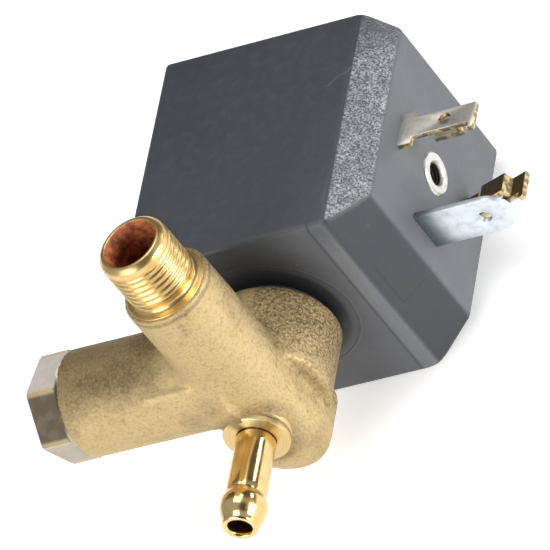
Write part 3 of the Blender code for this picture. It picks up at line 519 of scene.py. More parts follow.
def soft_plastic(colour_name, roughness, bump=0.02, scale=2.0):
    def recipe(m, colours):
        place = m.millimetres()
        base = getattr(colours, colour_name)
        cloud = m.noise(place, scale, 4.0)
        colour = m.mix(cloud * 0.5, base, tinted(base, 0.7))
        return {"Base Color": colour, "Roughness": roughness + cloud * 0.12,
                "Normal": m.bump(cloud, bump)}

    return recipe


def pale_floor(m, colours):
    place = m.millimetres()
    cloud = m.noise(place, 0.02, 2.0)
    return {"Base Color": m.mix(cloud, (0.93, 0.93, 0.93), (0.90, 0.90, 0.90)), "Roughness": 0.9,
            "Emission Color": (0.42, 0.42, 0.42, 1.0), "Emission Strength": 1.0}


# ---------------------------------------------------------------- shapes

def add_piece(name, mesh, body, slot, look, *replaced):
    """A finished piece at the origin: it rides on its body and stands for the nodes it replaces."""
    piece = bpy.data.objects.new(name, mesh)
    bpy.context.scene.collection.objects.link(piece)
    mesh.name = name
    mesh.materials.clear()
    mesh.materials.append(look)
    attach(piece, body)
    if replaced:
        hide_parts(*replaced)
    return piece


@contextmanager
def edited(mesh):
    """The mesh opened for editing, and written back afterwards."""
    work = bmesh.new()
    work.from_mesh(mesh)
    yield work
    work.to_mesh(mesh)
    work.free()


def tidy_mesh(mesh, sharp=30.0):
    """Merges doubles, turns the faces outwards and keeps only real edges sharp."""
    with edited(mesh) as work:
        bmesh.ops.remove_doubles(work, verts=work.verts, dist=0.002 * MM)
        bmesh.ops.recalc_face_normals(work, faces=work.faces)
        for face in work.faces:
            face.smooth = True
    mesh.set_sharp_from_angle(angle=math.radians(sharp))
    return mesh


def placed(mesh, where=VALVE_AXIS):
    """A mesh drawn about Z, moved to its own axis on the valve and tidied."""
    mesh.transform(where)
    return tidy_mesh(mesh)


def rounded(corners, pieces=4):
    """A closed outline whose corners (across, along, radius in mm) are rounded, in metres."""
    outline = []
    for i, (across, along, radius) in enumerate(corners):
        here = Vector((across, along))
        before = Vector(corners[i - 1][:2]) - here
        after = Vector(corners[(i + 1) % len(corners)][:2]) - here
        if not radius:
            outline.append(here * MM)
            continue
        reach = min(radius, 0.48 * before.length, 0.48 * after.length)
        start, end = here + before.normalized() * reach, here + after.normalized() * reach
        for k in range(pieces + 1):
            t = k / pieces
            outline.append((start * (1 - t) ** 2 + here * 2 * t * (1 - t) + end * t * t) * MM)
    return outline


def hexagon_limit(flats, angle):
    """Distance from the middle to a hexagon's side at an angle, one flat facing angle 0."""
    sixth = math.pi / 3
    return flats / 2 / math.cos((angle + sixth / 2) % sixth - sixth / 2)


def spun(name, outline, flats=None, flat_zone=None, turn=0.0, thread=None, steps=ROUND_STEPS):
    """A closed outline spun about Z. Between the heights of flat_zone a hexagon limits it, and
    between those of thread, at its radius, rows are added and weighted for the thread."""
    rows = []
    for i, point in enumerate(outline):
        after = outline[(i + 1) % len(outline)]
        rows.append(point)
        if thread and all(abs(p.x - thread[0]) < 0.02 * MM for p in (point, after)):
            count = int((after - point).length / (thread[3] / 10))
            rows.extend(point.lerp(after, k / count) for k in range(1, count))
    work = bmesh.new()
    weight = work.verts.layers.float.new("thread")
    rings = []
    for row in rows:
        ring = []
        for k in range(steps):
            around = math.tau * k / steps
            angle = turn + around
            radius = row.x
            if flats and flat_zone[0] <= row.y <= flat_zone[1]:
                radius = min(radius, hexagon_limit(flats, around))
            vert = work.verts.new((radius * math.cos(angle), radius * math.sin(angle), row.y))
            if thread and abs(row.x - thread[0]) < 0.02 * MM:
                lead = min(row.y - thread[1], thread[2] - row.y) / thread[3]
                vert[weight] = min(max(lead, 0.0), 1.0)
            ring.append(vert)
        rings.append(ring)
    for here, after in zip(rings, rings[1:] + rings[:1]):
        for k in range(steps):
            j = (k + 1) % steps
            work.faces.new((here[k], here[j], after[j], after[k]))
    mesh = bpy.data.meshes.new(name)
    work.to_mesh(mesh)
    work.free()
    return mesh


def new_tree(name, sockets):
    """An empty Geometry Nodes tree with named inputs, and a maker for it."""
    tree = bpy.data.node_groups.new(name, "GeometryNodeTree")
    tree.interface.new_socket("Geometry", in_out="INPUT", socket_type="NodeSocketGeometry")
    for label, kind in sockets:
        tree.interface.new_socket(label, in_out="INPUT", socket_type=f"NodeSocket{kind}")
    tree.interface.new_socket("Geometry", in_out="OUTPUT", socket_type="NodeSocketGeometry")
    start = tree.nodes.new("NodeGroupInput")
    maker = Maker(tree)
    return tree, maker, {output.name: Wire(maker, output) for output in start.outputs if output.name}


def end_tree(maker, shape, material):
    """Closes a tree with smooth faces, real geometry and its material."""
    shape = maker.node("GeometryNodeSetShadeSmooth", inputs={"Geometry": shape})
    shape = maker.node("GeometryNodeRealizeInstances", inputs={"Geometry": shape})
    shape = maker.node("GeometryNodeSetMaterial", inputs={"Geometry": shape, "Material": material})
    end = maker.tree.nodes.new("NodeGroupOutput")
    maker.feed(end.inputs[0], shape)


def grown(name, mesh, tree, values):
    """What a tree makes of a mesh, as a plain mesh."""
    guide = bpy.data.objects.new(name, mesh)
    bpy.context.scene.collection.objects.link(guide)
    step = guide.modifiers.new("Shape", "NODES")
    step.node_group = tree
    for item in tree.interface.items_tree:
        if item.in_out == "INPUT" and item.name in values:
            step[item.identifier] = values[item.name]
    ready = guide.evaluated_get(bpy.context.evaluated_depsgraph_get())
    made = bpy.data.meshes.new_from_object(ready)
    bpy.data.objects.remove(guide)
    if not made.polygons:
        raise RuntimeError(f"{name}: the tree made no faces")
    return made


def thread_tree():
    """Moves weighted points in and out along a screw line about Z."""
    if "cut_thread" in bpy.data.node_groups:
        return bpy.data.node_groups["cut_thread"]
    sockets = [("Pitch", "Float"), ("Depth", "Float"), ("Finish", "Material")]
    tree, m, inputs = new_tree("cut_thread", sockets)
    place = m.node("GeometryNodeInputPosition")
    x, y, z = m.parts(place)
    weight = m.node("GeometryNodeInputNamedAttribute", {"data_type": "FLOAT"}, {"Name": "thread"})
    turn = m.math("ARCTAN2", y, x) / math.tau
    phase = m.math("FRACT", z / inputs["Pitch"] - turn)
    flank = m.ramp(abs(phase * 2.0 - 1.0), 0.08, 0.92)
    radial = m.vector("NORMALIZE", m.joined(x, y, 0.0))
    inwards = -(inputs["Depth"] * flank * weight)
    shift = m.vector("MULTIPLY", radial, m.joined(inwards, inwards, inwards))
    cut = m.node("GeometryNodeSetPosition", inputs={"Geometry": inputs["Geometry"], "Offset": shift})
    end_tree(m, cut, inputs["Finish"])
    return tree


def threaded(name, mesh, pitch, depth, look):
    """Cuts the thread that a spun mesh has weights for. A negative depth cuts outwards, as in a bore."""
    return grown(name, mesh, thread_tree(), {"Pitch": pitch, "Depth": depth, "Finish": look})


def forging_tree():
    """The forged body as one blended solid: boss, arm, lobe, side arm and neck, less its bores."""
    sockets = [(label, "Float") for label in
               ("Arm Radius", "Boss Radius", "Side Radius", "Side Height", "Axis Height",
                "Arm Level", "Blend")]
    tree, m, inputs = new_tree("forged_body", sockets + [("Finish", "Material")])
    value = {name: wire * TO_MM for name, wire in inputs.items() if name not in ("Geometry", "Finish")}
    place = m.vector("MULTIPLY", m.node("GeometryNodeInputPosition"), (TO_MM,) * 3)
    uneven = m.noise(place, 0.22, 2.0) * 0.5 - 0.25
    x, y, z = m.parts(place)
    level, blend = value["Arm Level"], value["Blend"]
    above = y - level
    forward = z - value["Axis Height"]
    from_axis = m.distance(x, forward)
    from_arm = m.distance(x, above)
    from_side = m.distance(above, z - value["Side Height"])

    boss = m.most(from_axis - value["Boss Radius"], abs(above - 6.6) - 5.4, 0.9)
    arm = m.most(from_arm - value["Arm Radius"], abs(z - 25.6) - 15.2, 0.5)
    lobe = m.most(m.distance(x, z - 10.4) - value["Arm Radius"] + 0.05, above - 5.2, 0.8)
    lobe = m.most(lobe, -3.6 - above, 4.0)
    foot = m.vector("LENGTH", m.joined(x + 0.6, above + 0.1, z - 10.8), output="Value") - 5.6
    lobe = m.least(lobe, foot, 1.6)
    side = m.most(from_side - value["Side Radius"], abs(x + 11.5) - 11.5, 0.3)
    neck = m.most(from_axis - 4.3, abs(above + 3.0) - 2.6, 0.3)
    seam = m.math("RADIANS", 55.0)
    seam_y = m.math("SINE", seam) * value["Side Radius"]
    seam_z = m.math("COSINE", seam) * value["Side Radius"]
    ridge = m.distance(above + seam_y, z - value["Side Height"] - seam_z) - 0.42
    ridge = m.most(ridge, abs(x + 6.8) - 3.8, 1.0)

    solid = m.least(arm, boss, blend)
    solid = m.least(solid, lobe, 0.5)
    solid = m.least(solid, side, blend * 1.6)
    solid = m.least(solid, ridge, 0.6)
    solid = m.least(solid, neck, 0.8) + uneven * 0.22
    inlet = m.most(from_arm - 3.55, 20.4 - z)
    port = m.most(from_side - 4.6, x + 17.4)
    passage = m.most(from_side - 2.6, x + 1.0)
    chamber = m.most(from_axis - 7.2, 5.4 - above)
    well = m.most(from_axis - 5.4, 4.0 - above)
    socket = m.most(from_axis - 2.8, above + 1.2)
    for bore in (inlet, port, passage, chamber, well, socket):
        solid = m.most(solid, -bore)
    amount = m.math("MINIMUM", m.math("MAXIMUM", 0.5 - solid * 0.5, 0.0), 1.0)

    low, high = (-24.0, -40.0, 2.0), (10.5, -17.0, 42.0)
    cells = 3.1  # cells in a millimetre
    counts = [int((b - a) * cells) for a, b in zip(low, high)]
    block = m.node("GeometryNodeVolumeCube", inputs={
        "Density": amount, "Background": 0.0,
        "Min": tuple(v * MM for v in low), "Max": tuple(v * MM for v in high),
        "Resolution X": counts[0], "Resolution Y": counts[1], "Resolution Z": counts[2],
    })
    skin = m.node("GeometryNodeVolumeToMesh", {"resolution_mode": "GRID"},
                  {"Volume": block, "Threshold": 0.5})
    end_tree(m, skin, inputs["Finish"])
    return tree


def cad_copy(node, bevel, sharp=35.0):
    """A merged copy of a frame node's mesh with its hard edges rounded."""
    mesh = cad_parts[node].data.copy()
    with edited(mesh) as work:
        bmesh.ops.remove_doubles(work, verts=work.verts, dist=0.003 * MM)
        bmesh.ops.dissolve_limit(work, angle_limit=math.radians(1.5), verts=work.verts,
                                 edges=work.edges)
        edges = [e for e in work.edges
                 if e.is_manifold and e.calc_face_angle() > math.radians(sharp)]
        bmesh.ops.bevel(work, geom=edges, offset=bevel, offset_type="OFFSET", segments=2,
                        profile=0.5, affect="EDGES", clamp_overlap=True)
        bmesh.ops.triangulate(work, faces=[f for f in work.faces if len(f.verts) > 4])
        bmesh.ops.recalc_face_normals(work, faces=work.faces)
    return tidy_mesh(mesh, 50.0)


def mesh_from(name, points, faces):
    """A mesh from points in millimetres."""
    mesh = bpy.data.meshes.new(name)
    mesh.from_pydata([tuple(v * MM for v in p) for p in points], [], faces)
    return mesh


def bevelled(mesh, width, segments, hard=0.0):
    """Bevels the edges that turn by more than hard degrees."""
    with edited(mesh) as work:
        bmesh.ops.recalc_face_normals(work, faces=work.faces)
        edges = [e for e in work.edges if e.calc_face_angle() > math.radians(hard)]
        bmesh.ops.bevel(work, geom=edges, offset=width, offset_type="OFFSET", segments=segments,
                        profile=0.5, affect="EDGES")
        bmesh.ops.recalc_face_normals(work, faces=work.faces)
    return mesh


def helper(name, mesh):
    obj = bpy.data.objects.new(name, mesh)
    bpy.context.scene.collection.objects.link(obj)
    return obj


def less(solid, cutters):
    """A mesh with others cut out of it one after another."""
    target = helper("target", solid)
    for cutter in cutters:
        step = target.modifiers.new("Cut", "BOOLEAN")
        step.operation, step.solver, step.object = "DIFFERENCE", "EXACT", cutter
    ready = target.evaluated_get(bpy.context.evaluated_depsgraph_get())
    mesh = bpy.data.meshes.new_from_object(ready)
    for obj in [target, *cutters]:
        bpy.data.objects.remove(obj)
    return mesh


def prism_faces(count):
    """Faces of a prism whose first count points are one end and whose next count the other."""
    ends = [tuple(range(count)), tuple(range(count, 2 * count))]
    return ends + [(i, (i + 1) % count, (i + 1) % count + count, i + count) for i in range(count)]


def coil_block():
    """The moulded block's outer shape, in millimetres above the underside and the back."""
    half, tall, deep = 15.25, 35.8, 31.2
    end, ledge = 19.95, 13.55
    points = [
        (-half, 0, 0), (ledge, 0, 0), (half, 0, 26), (half, 0, deep), (-half, 0, deep),
        (half, 0.45, 0), (-half, tall + 0.35, 0), (half, tall, 0), (half, tall, deep),
        (-half, tall + 0.35, deep),
        (end, 5.6, 1.9), (end, 5.6, deep - 2.7), (end, tall - 1.9, deep - 2.7), (end, tall - 1.9, 1.9),
    ]
    base = HOUSING_LOW.y / MM
    points = [(x, y + base, z) for x, y, z in points]
    faces = [
        (0, 1, 2, 3, 4), (1, 5, 2), (0, 6, 7, 5, 1), (4, 3, 8, 9), (0, 4, 9, 6), (6, 9, 8, 7),
        (5, 10, 11, 3, 2), (3, 11, 12, 8), (8, 12, 13, 7), (7, 13, 10, 5), (10, 13, 12, 11),
    ]
    rounding = bpy.context.scene.valve_sizes.coil_rounding
    return bevelled(mesh_from("coil_block", points, faces), rounding, 4, hard=12.0)


def slope_plate():
    """The thin raised plate on the lower slope, between the underside and the connector's end."""
    base = HOUSING_LOW.y / MM
    corners = [Vector((15.6, base + 1.05, 30.2)), Vector((19.6, base + 5.35, 27.9)),
               Vector((19.6, base + 5.35, 2.9)), Vector((15.6, base + 1.05, 1.1))]
    out = (corners[1] - corners[0]).cross(corners[3] - corners[0]).normalized()
    if out.x < 0:
        out = -out
    points = [c + out * lift for lift in (-0.4, 0.12) for c in corners]
    return tidy_mesh(bevelled(mesh_from("coil_lower_plate", points, prism_faces(4)), 0.18 * MM, 3))


# ---------------------------------------------------------------- operators

class MakeForgedBody(Operator):
    """Blends the boss, the arms, the lobe and the neck into one forging"""
    bl_idname = "valve.make_forged_body"
    bl_label = "Forged body"

    def execute(self, context):
        s = context.scene.valve_sizes
        look = finish("forged_brass_skin", forged_brass)
        values = {
            "Arm Radius": s.arm_radius, "Boss Radius": s.boss_radius, "Side Radius": s.side_radius,
            "Side Height": s.side_height, "Axis Height": AXIS_Z, "Arm Level": ARM_Y,
            "Blend": s.forging_blend, "Finish": look,
        }
        mesh = grown("forged_body", bpy.data.meshes.new("seed"), forging_tree(), values)
        with edited(mesh) as work:
            if work.calc_volume(signed=True) < 0:
                bmesh.ops.reverse_faces(work, faces=work.faces)
        add_piece("forged_body", mesh, FIXED_BODY, "forged_brass", look, "valve_body")
        return {"FINISHED"}


class MakeInletThread(Operator):
    """Turns the inlet's shoulder, relief, thread and bore"""
    bl_idname = "valve.make_inlet_thread"
    bl_label = "Inlet thread"

    def execute(self, context):
        s = context.scene.valve_sizes
        crest, bore, wall = s.thread_radius / MM, s.inlet_bore / MM, s.arm_radius / MM
        mouth = BODY_HIGH.z / MM
        outline = rounded([
            (bore + 0.4, 20.5, 0), (wall - 2.3, 40.0, 0), (wall - 0.45, 40.0, 0),
            (wall - 0.45, 40.95, 0.15), (4.85, 41.05, 0.3), (4.45, 41.5, 0.3),
            (4.5, 42.0, 0.2), (crest, 42.5, 0.15),
            (crest, mouth - 1.5, 0.3), (crest - 0.15, mouth - 0.6, 0.3), (crest - 0.75, mouth, 0.3),
            (bore + 0.38, mouth, 0.1), (bore, mouth - 1.1, 0.2), (bore, 20.5, 0),
        ])
        zone = (s.thread_radius, 0.0421, BODY_HIGH.z - 1.2 * MM, s.thread_pitch)
        mesh = spun("inlet_thread", outline, thread=zone, steps=128)
        look = finish("inlet_brass", inlet_brass)
        mesh = threaded("inlet_thread", mesh, s.thread_pitch, s.thread_depth, look)
        mesh = placed(mesh, Matrix.Translation((0, ARM_Y, 0)))
        add_piece("inlet_thread", mesh, FIXED_BODY, "turned_brass", look, "valve_body")
        return {"FINISHED"}


class MakeSideHexagon(Operator):
    """Mills the flats of the side port and taps its bore"""
    bl_idname = "valve.make_side_hexagon"
    bl_label = "Side port hexagon"

    def execute(self, context):
        s = context.scene.valve_sizes
        bore, outer = s.side_bore / MM, s.side_radius / MM
        mouth = -BODY_LOW.x / MM
        step = mouth - 4.3
        corner = s.hexagon_flats / MM / math.sqrt(3) + 0.05
        outline = rounded([
            (bore + 0.45, 17.7, 0), (outer - 1.2, step - 0.5, 0), (outer - 0.05, step - 0.4, 0.1),
            (outer + 0.02, step, 0), (corner, step + 0.01, 0), (corner, mouth - 0.2, 0),
            (corner - 0.2, mouth, 0), (bore + 0.6, mouth, 0.1), (bore, mouth - 0.6, 0.1), (bore, 17.7, 0),
        ])
        zone = (s.side_bore, 0.0182, (mouth - 0.4) * MM, s.thread_pitch)
        flat_zone = ((step + 0.005) * MM, mouth * MM)
        mesh = spun("side_hexagon", outline, s.hexagon_flats, flat_zone, math.radians(10), zone)
        look = finish("milled_brass", milled_brass)
        mesh = threaded("side_hexagon", mesh, s.thread_pitch, -s.thread_depth, look)
        mesh = placed(mesh, Matrix.Translation((0, ARM_Y, s.side_height)) @ ALONG_MINUS_X)
        add_piece("side_hexagon", mesh, FIXED_BODY, "forged_brass", look, "valve_body")
        return {"FINISHED"}


class MakeHoseBarb(Operator):
    """Turns the hose barb and the faced neck that holds it"""
    bl_idname = "valve.make_hose_barb"
    bl_label = "Hose barb and neck"

    def execute(self, context):
        s = context.scene.valve_sizes
        tube, bulb = s.barb_radius / MM, s.bulb_radius / MM
        neck_face, tip = HOUSING_LOW.y / MM - 19.8, BARB_LOW.y / MM
        neck = rounded([
            (tube + 0.01, -35.2, 0), (tube + 0.01, neck_face, 0), (4.4, neck_face, 0.15),
            (4.4, neck_face + 0.75, 0.15), (4.12, neck_face + 0.95, 0.1),
            (4.12, neck_face + 1.2, 0.1), (4.35, neck_face + 1.4, 0.1),
            (4.35, -35.2, 0),
        ])
        barb = rounded([
            (1.5, BARB_HIGH.y / MM, 0.1), (2.5, BARB_HIGH.y / MM, 0.15), (2.5, neck_face - 0.3, 0),
            (tube, neck_face - 0.3, 0.1), (tube, tip + 5.6, 1.2), (tube - 0.12, tip + 4.9, 0.6),
            (bulb, tip + 3.9, 0.9), (bulb, tip + 2.4, 0.7), (2.45, tip + 0.9, 0.6), (2.3, tip, 0.5),
            (1.65, tip, 0.35), (1.5, tip + 0.6, 0.2),
        ], 6)
        look = finish("barb_brass", turned_brass((0.0, 1.0, 0.0), roughness=0.09))
        faced = finish("faced_brass", faced_brass)
        for name, outline, slot, brass, node in (
            ("barb_neck", neck, "forged_brass", faced, "valve_body"),
            ("hose_barb_turned", barb, "turned_brass", look, "hose_barb"),
        ):
            add_piece(name, placed(spun(name, outline)), FIXED_BODY, slot, brass, node)
        return {"FINISHED"}


def insert_axis():
    """Where the connector's screw insert runs."""
    low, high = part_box("screw_insert")
    middle = (low + high) / 2
    return Matrix.Translation((0, middle.y, middle.z)) @ ALONG_X


class MakeCoilHousing(Operator):
    """Moulds the coil's block, with its connector end and the rooms inside it"""
    bl_idname = "valve.make_coil_housing"
    bl_label = "Coil housing"

    def execute(self, context):
        bore = rounded([(5.2, -20.0, 0), (5.2, 20.0, 0), (0.0, 20.0, 0), (0.0, -20.0, 0)])
        room = rounded([(12.05, -14.1, 0), (12.05, 13.9, 0), (0.0, 13.9, 0), (0.0, -14.1, 0)])
        cutters = [helper(name, placed(spun(name, outline, steps=64)))
                   for name, outline in (("bore", bore), ("room", room))]
        low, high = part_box("yoke_frame")
        gap = 0.3 * MM
        wall = 2.0 * MM
        left, right, under, over = low.x - gap, high.x + gap, low.y - gap, high.y + gap
        back, floor, roof = low.x + wall + gap, low.y + wall + gap, high.y - wall - gap
        outline = [(left, under), (right, under), (right, floor), (back, floor),
                   (back, roof), (right, roof), (right, over), (left, over)]
        points = [(x / MM, y / MM, z / MM) for z in (low.z - gap, high.z + gap) for x, y in outline]
        channel = tidy_mesh(mesh_from("yoke_room", points, prism_faces(len(outline))))
        cutters.insert(1, helper("yoke_room", channel))
        low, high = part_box("screw_insert")
        deep, face, radius = low.x / MM - 0.3, high.x / MM + 1, 2.9
        outline = rounded([(radius, deep, 0), (radius, face, 0), (0.0, face, 0), (0.0, deep, 0)])
        hole = placed(spun("insert_room", outline, steps=64), insert_axis())
        cutters.append(helper("insert_room", hole))
        for node in ("terminal_line", "terminal_neutral", "terminal_earth",
                     "lead_wire_line", "lead_wire_neutral"):
            low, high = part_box(node)
            high = Vector((min(high.x, HOUSING_HIGH.x - 0.4 * MM), high.y, high.z))
            stretch = Matrix.Diagonal((*(high - low + Vector((gap, gap, gap))), 1.0))
            mesh = bpy.data.meshes.new(node)
            with edited(mesh) as work:
                bmesh.ops.create_cube(work, size=1.0)
                bmesh.ops.transform(work, verts=work.verts,
                                    matrix=Matrix.Translation((low + high) / 2) @ stretch)
            cutters.append(helper(f"{node}_room", mesh))
        mesh = less(coil_block(), cutters)
        look = finish("slate_resin", coil_resin)
        mesh = tidy_mesh(mesh, 25.0)
        add_piece("coil_moulding", mesh, FIXED_BODY, "coil_resin", look, "coil_housing")
        add_piece("coil_lower_plate", slope_plate(), FIXED_BODY, "coil_resin", look)
        ring = rounded([(10.3, -17.7, 0), (10.4, -18.04, 0.1), (10.8, -18.04, 0.1), (10.9, -17.7, 0)])
        witness = placed(spun("coil_witness_ring", ring))
        add_piece("coil_witness_ring", witness, FIXED_BODY, "coil_resin", look)
        return {"FINISHED"}


class MakeTerminals(Operator):
    """Rounds and plates the three blades, and taps the screw insert between them"""
    bl_idname = "valve.make_terminals"
    bl_label = "Blades and screw insert"

    def execute(self, context):
        s = context.scene.valve_sizes
        lean = math.radians(18.0)
        blades = (
            ("line_blade", "terminal_line", "tin_plate", "tin", (0.0, 0.0, 1.0)),
            ("neutral_blade", "terminal_neutral", "dull_brass", "dull_brass",
             (-math.sin(lean), 0.0, math.cos(lean))),
            ("earth_blade", "terminal_earth", "zinc_plate", "zinc", None),
        )
        for name, node, slot, colour, thickness in blades:
            # The earth blade's painted reflection of the resin is measured out from the moulding's end
            # face.
            painted_reflection_root = HOUSING_HIGH.x / MM if node == "terminal_earth" else None
            look = finish(f"{name}_plate", plated(colour, thickness, painted_reflection_root=painted_reflection_root))
            mesh = cad_copy(node, s.blade_rounding)
            add_piece(name, mesh, FIXED_BODY, slot, look, node)
        low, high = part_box("screw_insert")
        top, deep = high.x / MM, low.x / MM
        hole, outer, pitch, depth = 1.45, 3.0, 0.5 * MM, 0.2 * MM
        outline = rounded([
            (hole, deep, 0), (hole, top - 0.5, 0.1), (1.8, top, 0.15), (2.8, top, 0.2),
            (outer, top - 0.25, 0.15), (outer, deep, 0.2),
        ])
        zone = (hole * MM, (deep + 0.2) * MM, (top - 0.4) * MM, pitch)
        mesh = spun("screw_insert", outline, thread=zone, steps=64)
        look = finish("insert_nickel", insert_nickel)
        mesh = placed(threaded("screw_insert", mesh, pitch, -depth, look), insert_axis())
        add_piece("threaded_insert", mesh, FIXED_BODY, "nickel_plate", look, "screw_insert")
        return {"FINISHED"}


class MakeCoilNut(Operator):
    """Makes the stud's thread, the nut and the washer that hold the coil down"""
    bl_idname = "valve.make_coil_nut"
    bl_label = "Stud, nut and washer"

    def execute(self, context):
        s = context.scene.valve_sizes
        low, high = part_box("coil_nut")
        under, over = low.y / MM, high.y / MM
        flats = s.nut_flats
        corner = flats / MM / 2 / math.cos(math.pi / 6)
        outline = rounded([
            (3.0, under, 0.1), (corner - 0.75, under, 0), (corner - 0.7, under + 0.05, 0),
            (corner + 0.01, under + 0.4, 0), (corner + 0.01, over - 0.4, 0),
            (corner - 0.7, over - 0.05, 0), (corner - 0.75, over, 0), (3.3, over, 0.15),
            (3.0, over - 0.4, 0.1),
        ])
        whole = (under * MM - 1, over * MM + 1)
        nut = placed(spun("coil_nut", outline, flats, whole, math.radians(8)))
        nickel = finish("nut_nickel", plated("nickel", roughness=0.25))
        add_piece("hexagon_nut", nut, FIXED_BODY, "nickel_plate", nickel, "coil_nut")
        low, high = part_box("lock_washer")
        under, over = low.y / MM, high.y / MM
        hole, rim = 3.2, 5.6
        outline = rounded([
            (hole, under, 0.1), (rim, under, 0.25), (rim, over, 0.25), (hole, over, 0.1),
        ])
        steel = finish("washer_steel", plain_metal("steel", 0.28))
        washer = placed(spun("lock_washer", outline))
        add_piece("round_washer", washer, FIXED_BODY, "stainless_steel", steel, "lock_washer")
        low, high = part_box("fixed_core")
        start, top = low.y / MM, high.y / MM
        shoulder = HOUSING_HIGH.y / MM - 0.3
        stud, flange, core, middle = 2.9, 4.9, 4.0, 0.01
        groove_out, groove_in, groove_top = 3.4, 2.4, start + 1.3  # where the shading ring lies
        outline = rounded([
            (middle, top, 0), (2.5, top, 0.2), (stud, top - 0.45, 0.1), (stud, shoulder, 0),
            (flange, shoulder, 0.1), (flange, shoulder - 0.4, 0), (core, shoulder - 0.4, 0),
            (core, start, 0.1), (groove_out, start, 0.1), (groove_out, groove_top, 0),
            (groove_in, groove_top, 0), (groove_in, start, 0.1), (middle, start, 0),
        ])
        zone = (stud * MM, (shoulder + 0.2) * MM, (top - 0.3) * MM, s.stud_pitch)
        mesh = spun("fixed_core", outline, thread=zone)
        mesh = placed(threaded("fixed_core", mesh, s.stud_pitch, 0.45 * MM, steel))
        add_piece("core_and_stud", mesh, FIXED_BODY, "stainless_steel", steel, "fixed_core")
        return {"FINISHED"}


class FinishInnerParts(Operator):
    """Gives the parts inside the coil and the body their own finishes"""
    bl_idname = "valve.finish_inner_parts"
    bl_label = "Inner parts"

    def execute(self, context):
        steel = plain_metal("steel", 0.3)
        finishes = {
            "seat_nozzle": ("seat_steel", steel), "guide_collar": ("collar_steel", steel),
            "guide_tube": ("tube_steel", steel), "plunger": ("plunger_steel", plain_metal("steel", 0.22)),
            "plunger_spring": ("spring_wire", plain_metal("steel", 0.3, 0.002)),
            "yoke_frame": ("yoke_steel_finish", plain_metal("yoke", 0.42)),
            "shading_ring": ("ring_copper", plain_metal("copper", 0.3)),
            "lead_wire_line": ("lead_copper", plain_metal("copper", 0.3)),
            "lead_wire_neutral": ("lead_copper", plain_metal("copper", 0.3)),
            "winding": ("wound_copper", wound_copper),
            "winding_tape": ("tape_film", soft_plastic("tape", 0.4)),
            "bobbin": ("bobbin_plastic", soft_plastic("nylon", 0.45)),
            "coil_gasket": ("gasket_rubber", soft_plastic("rubber", 0.7)),
            "tube_seal": ("seal_rubber", soft_plastic("rubber", 0.6)),
            "plunger_seal": ("plunger_rubber", soft_plastic("rubber", 0.65)),
        }
        for node, (name, recipe) in finishes.items():
            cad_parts[node].data.materials.clear()
            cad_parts[node].data.materials.append(finish(name, recipe))
        return {"FINISHED"}


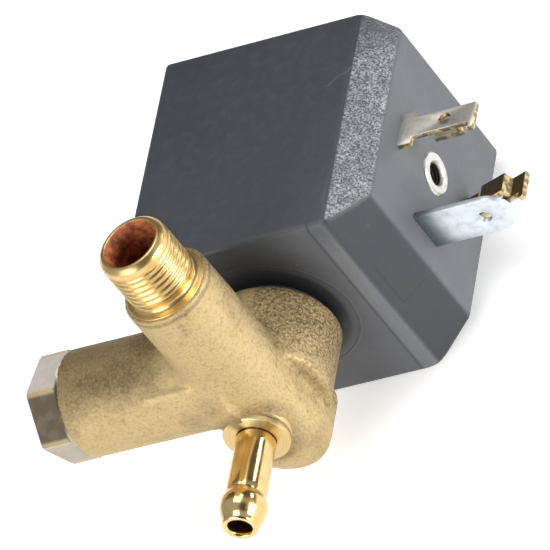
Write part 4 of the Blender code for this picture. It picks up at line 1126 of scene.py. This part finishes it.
class SetStage(Operator):
    """Sets the pale floor, the soft lights and the camera"""
    bl_idname = "valve.set_stage"
    bl_label = "Floor, lights and camera"

    def execute(self, context):
        reach = 1500
        corners = [(-reach, -reach, 0), (reach, -reach, 0), (reach, reach, 0), (-reach, reach, 0)]
        floor = tidy_mesh(mesh_from("floor", corners, [(0, 1, 2, 3)]))
        floor.materials.append(finish("pale_floor", pale_floor))
        helper("floor", floor)
        world = bpy.data.worlds.new("soft_room")
        world.use_nodes = True
        sky = world.node_tree.nodes["Background"]
        room = Maker(world.node_tree)
        direction = room.node("ShaderNodeTexCoord")
        toward = room.vector("DOT_PRODUCT", direction, OPENING, output="Value")
        back = room.ramp(room.parts(direction)[1], 0.30, 0.55)
        dark = room.math("MAXIMUM", room.ramp(toward, 0.70, 0.86), back * 0.85)
        room.feed(sky.inputs["Color"], room.mix(dark, (0.93, 0.96, 1.0), (0.10, 0.095, 0.09)))
        sky.inputs["Strength"].default_value = 0.46
        context.scene.world = world
        lights = (
            ("key", (-0.30, -0.80, 0.42), 0.55, 4.6),
            ("end_light", (0.85, -0.15, 0.20), 0.40, 6.6),
            ("top_light", (0.05, 0.30, 0.95), 0.60, 2.8),
            ("strip_light", (0.73, 0.61, 0.33), 0.12, 1.0),
        )
        for name, place, width, power in lights:
            lamp = bpy.data.lights.new(name, "AREA")
            lamp.shape, lamp.size, lamp.energy = "SQUARE", width, power
            obj = bpy.data.objects.new(name, lamp)
            obj.location = place
            obj.rotation_euler = (LIGHTS_AIM - Vector(place)).to_track_quat("-Z", "Y").to_euler()
            context.scene.collection.objects.link(obj)
        lens = bpy.data.cameras.new("camera")
        lens.lens = LENS
        lens.clip_start, lens.clip_end = 0.05, 10.0
        camera = bpy.data.objects.new("camera", lens)
        right, back = CAMERA_RIGHT.normalized(), CAMERA_RIGHT.cross(CAMERA_UP).normalized()
        turn = Matrix((right, back.cross(right), back)).transposed()
        camera.matrix_world = Matrix.Translation(CAMERA_PLACE) @ turn.to_4x4()
        context.scene.collection.objects.link(camera)
        context.scene.camera = camera
        context.scene.view_settings.view_transform = "Standard"
        return {"FINISHED"}


class ValvePanel(Panel):
    bl_idname = "VIEW3D_PT_valve"
    bl_label = "Solenoid valve"
    bl_space_type = "VIEW_3D"
    bl_region_type = "UI"
    bl_category = "Valve"

    def draw(self, context):
        for maker in MAKERS:
            self.layout.operator(maker.bl_idname)
        for group in (context.scene.valve_sizes, context.scene.valve_colours):
            for name in group.__annotations__:
                self.layout.prop(group, name)


MAKERS = (
    MakeForgedBody, MakeInletThread, MakeSideHexagon, MakeHoseBarb, MakeCoilHousing,
    MakeTerminals, MakeCoilNut, FinishInnerParts, SetStage,
)
CLASSES = (ValveSizes, ValveColours, *MAKERS, ValvePanel)


def register():
    for item in CLASSES:
        bpy.utils.register_class(item)
    bpy.types.Scene.valve_sizes = PointerProperty(type=ValveSizes)
    bpy.types.Scene.valve_colours = PointerProperty(type=ValveColours)


def unregister():
    del bpy.types.Scene.valve_colours
    del bpy.types.Scene.valve_sizes
    for item in reversed(CLASSES):
        bpy.utils.unregister_class(item)


def main():
    register()
    for maker in MAKERS:
        group, name = maker.bl_idname.split(".")
        getattr(getattr(bpy.ops, group), name)()


if __name__ == "__main__":
    main()
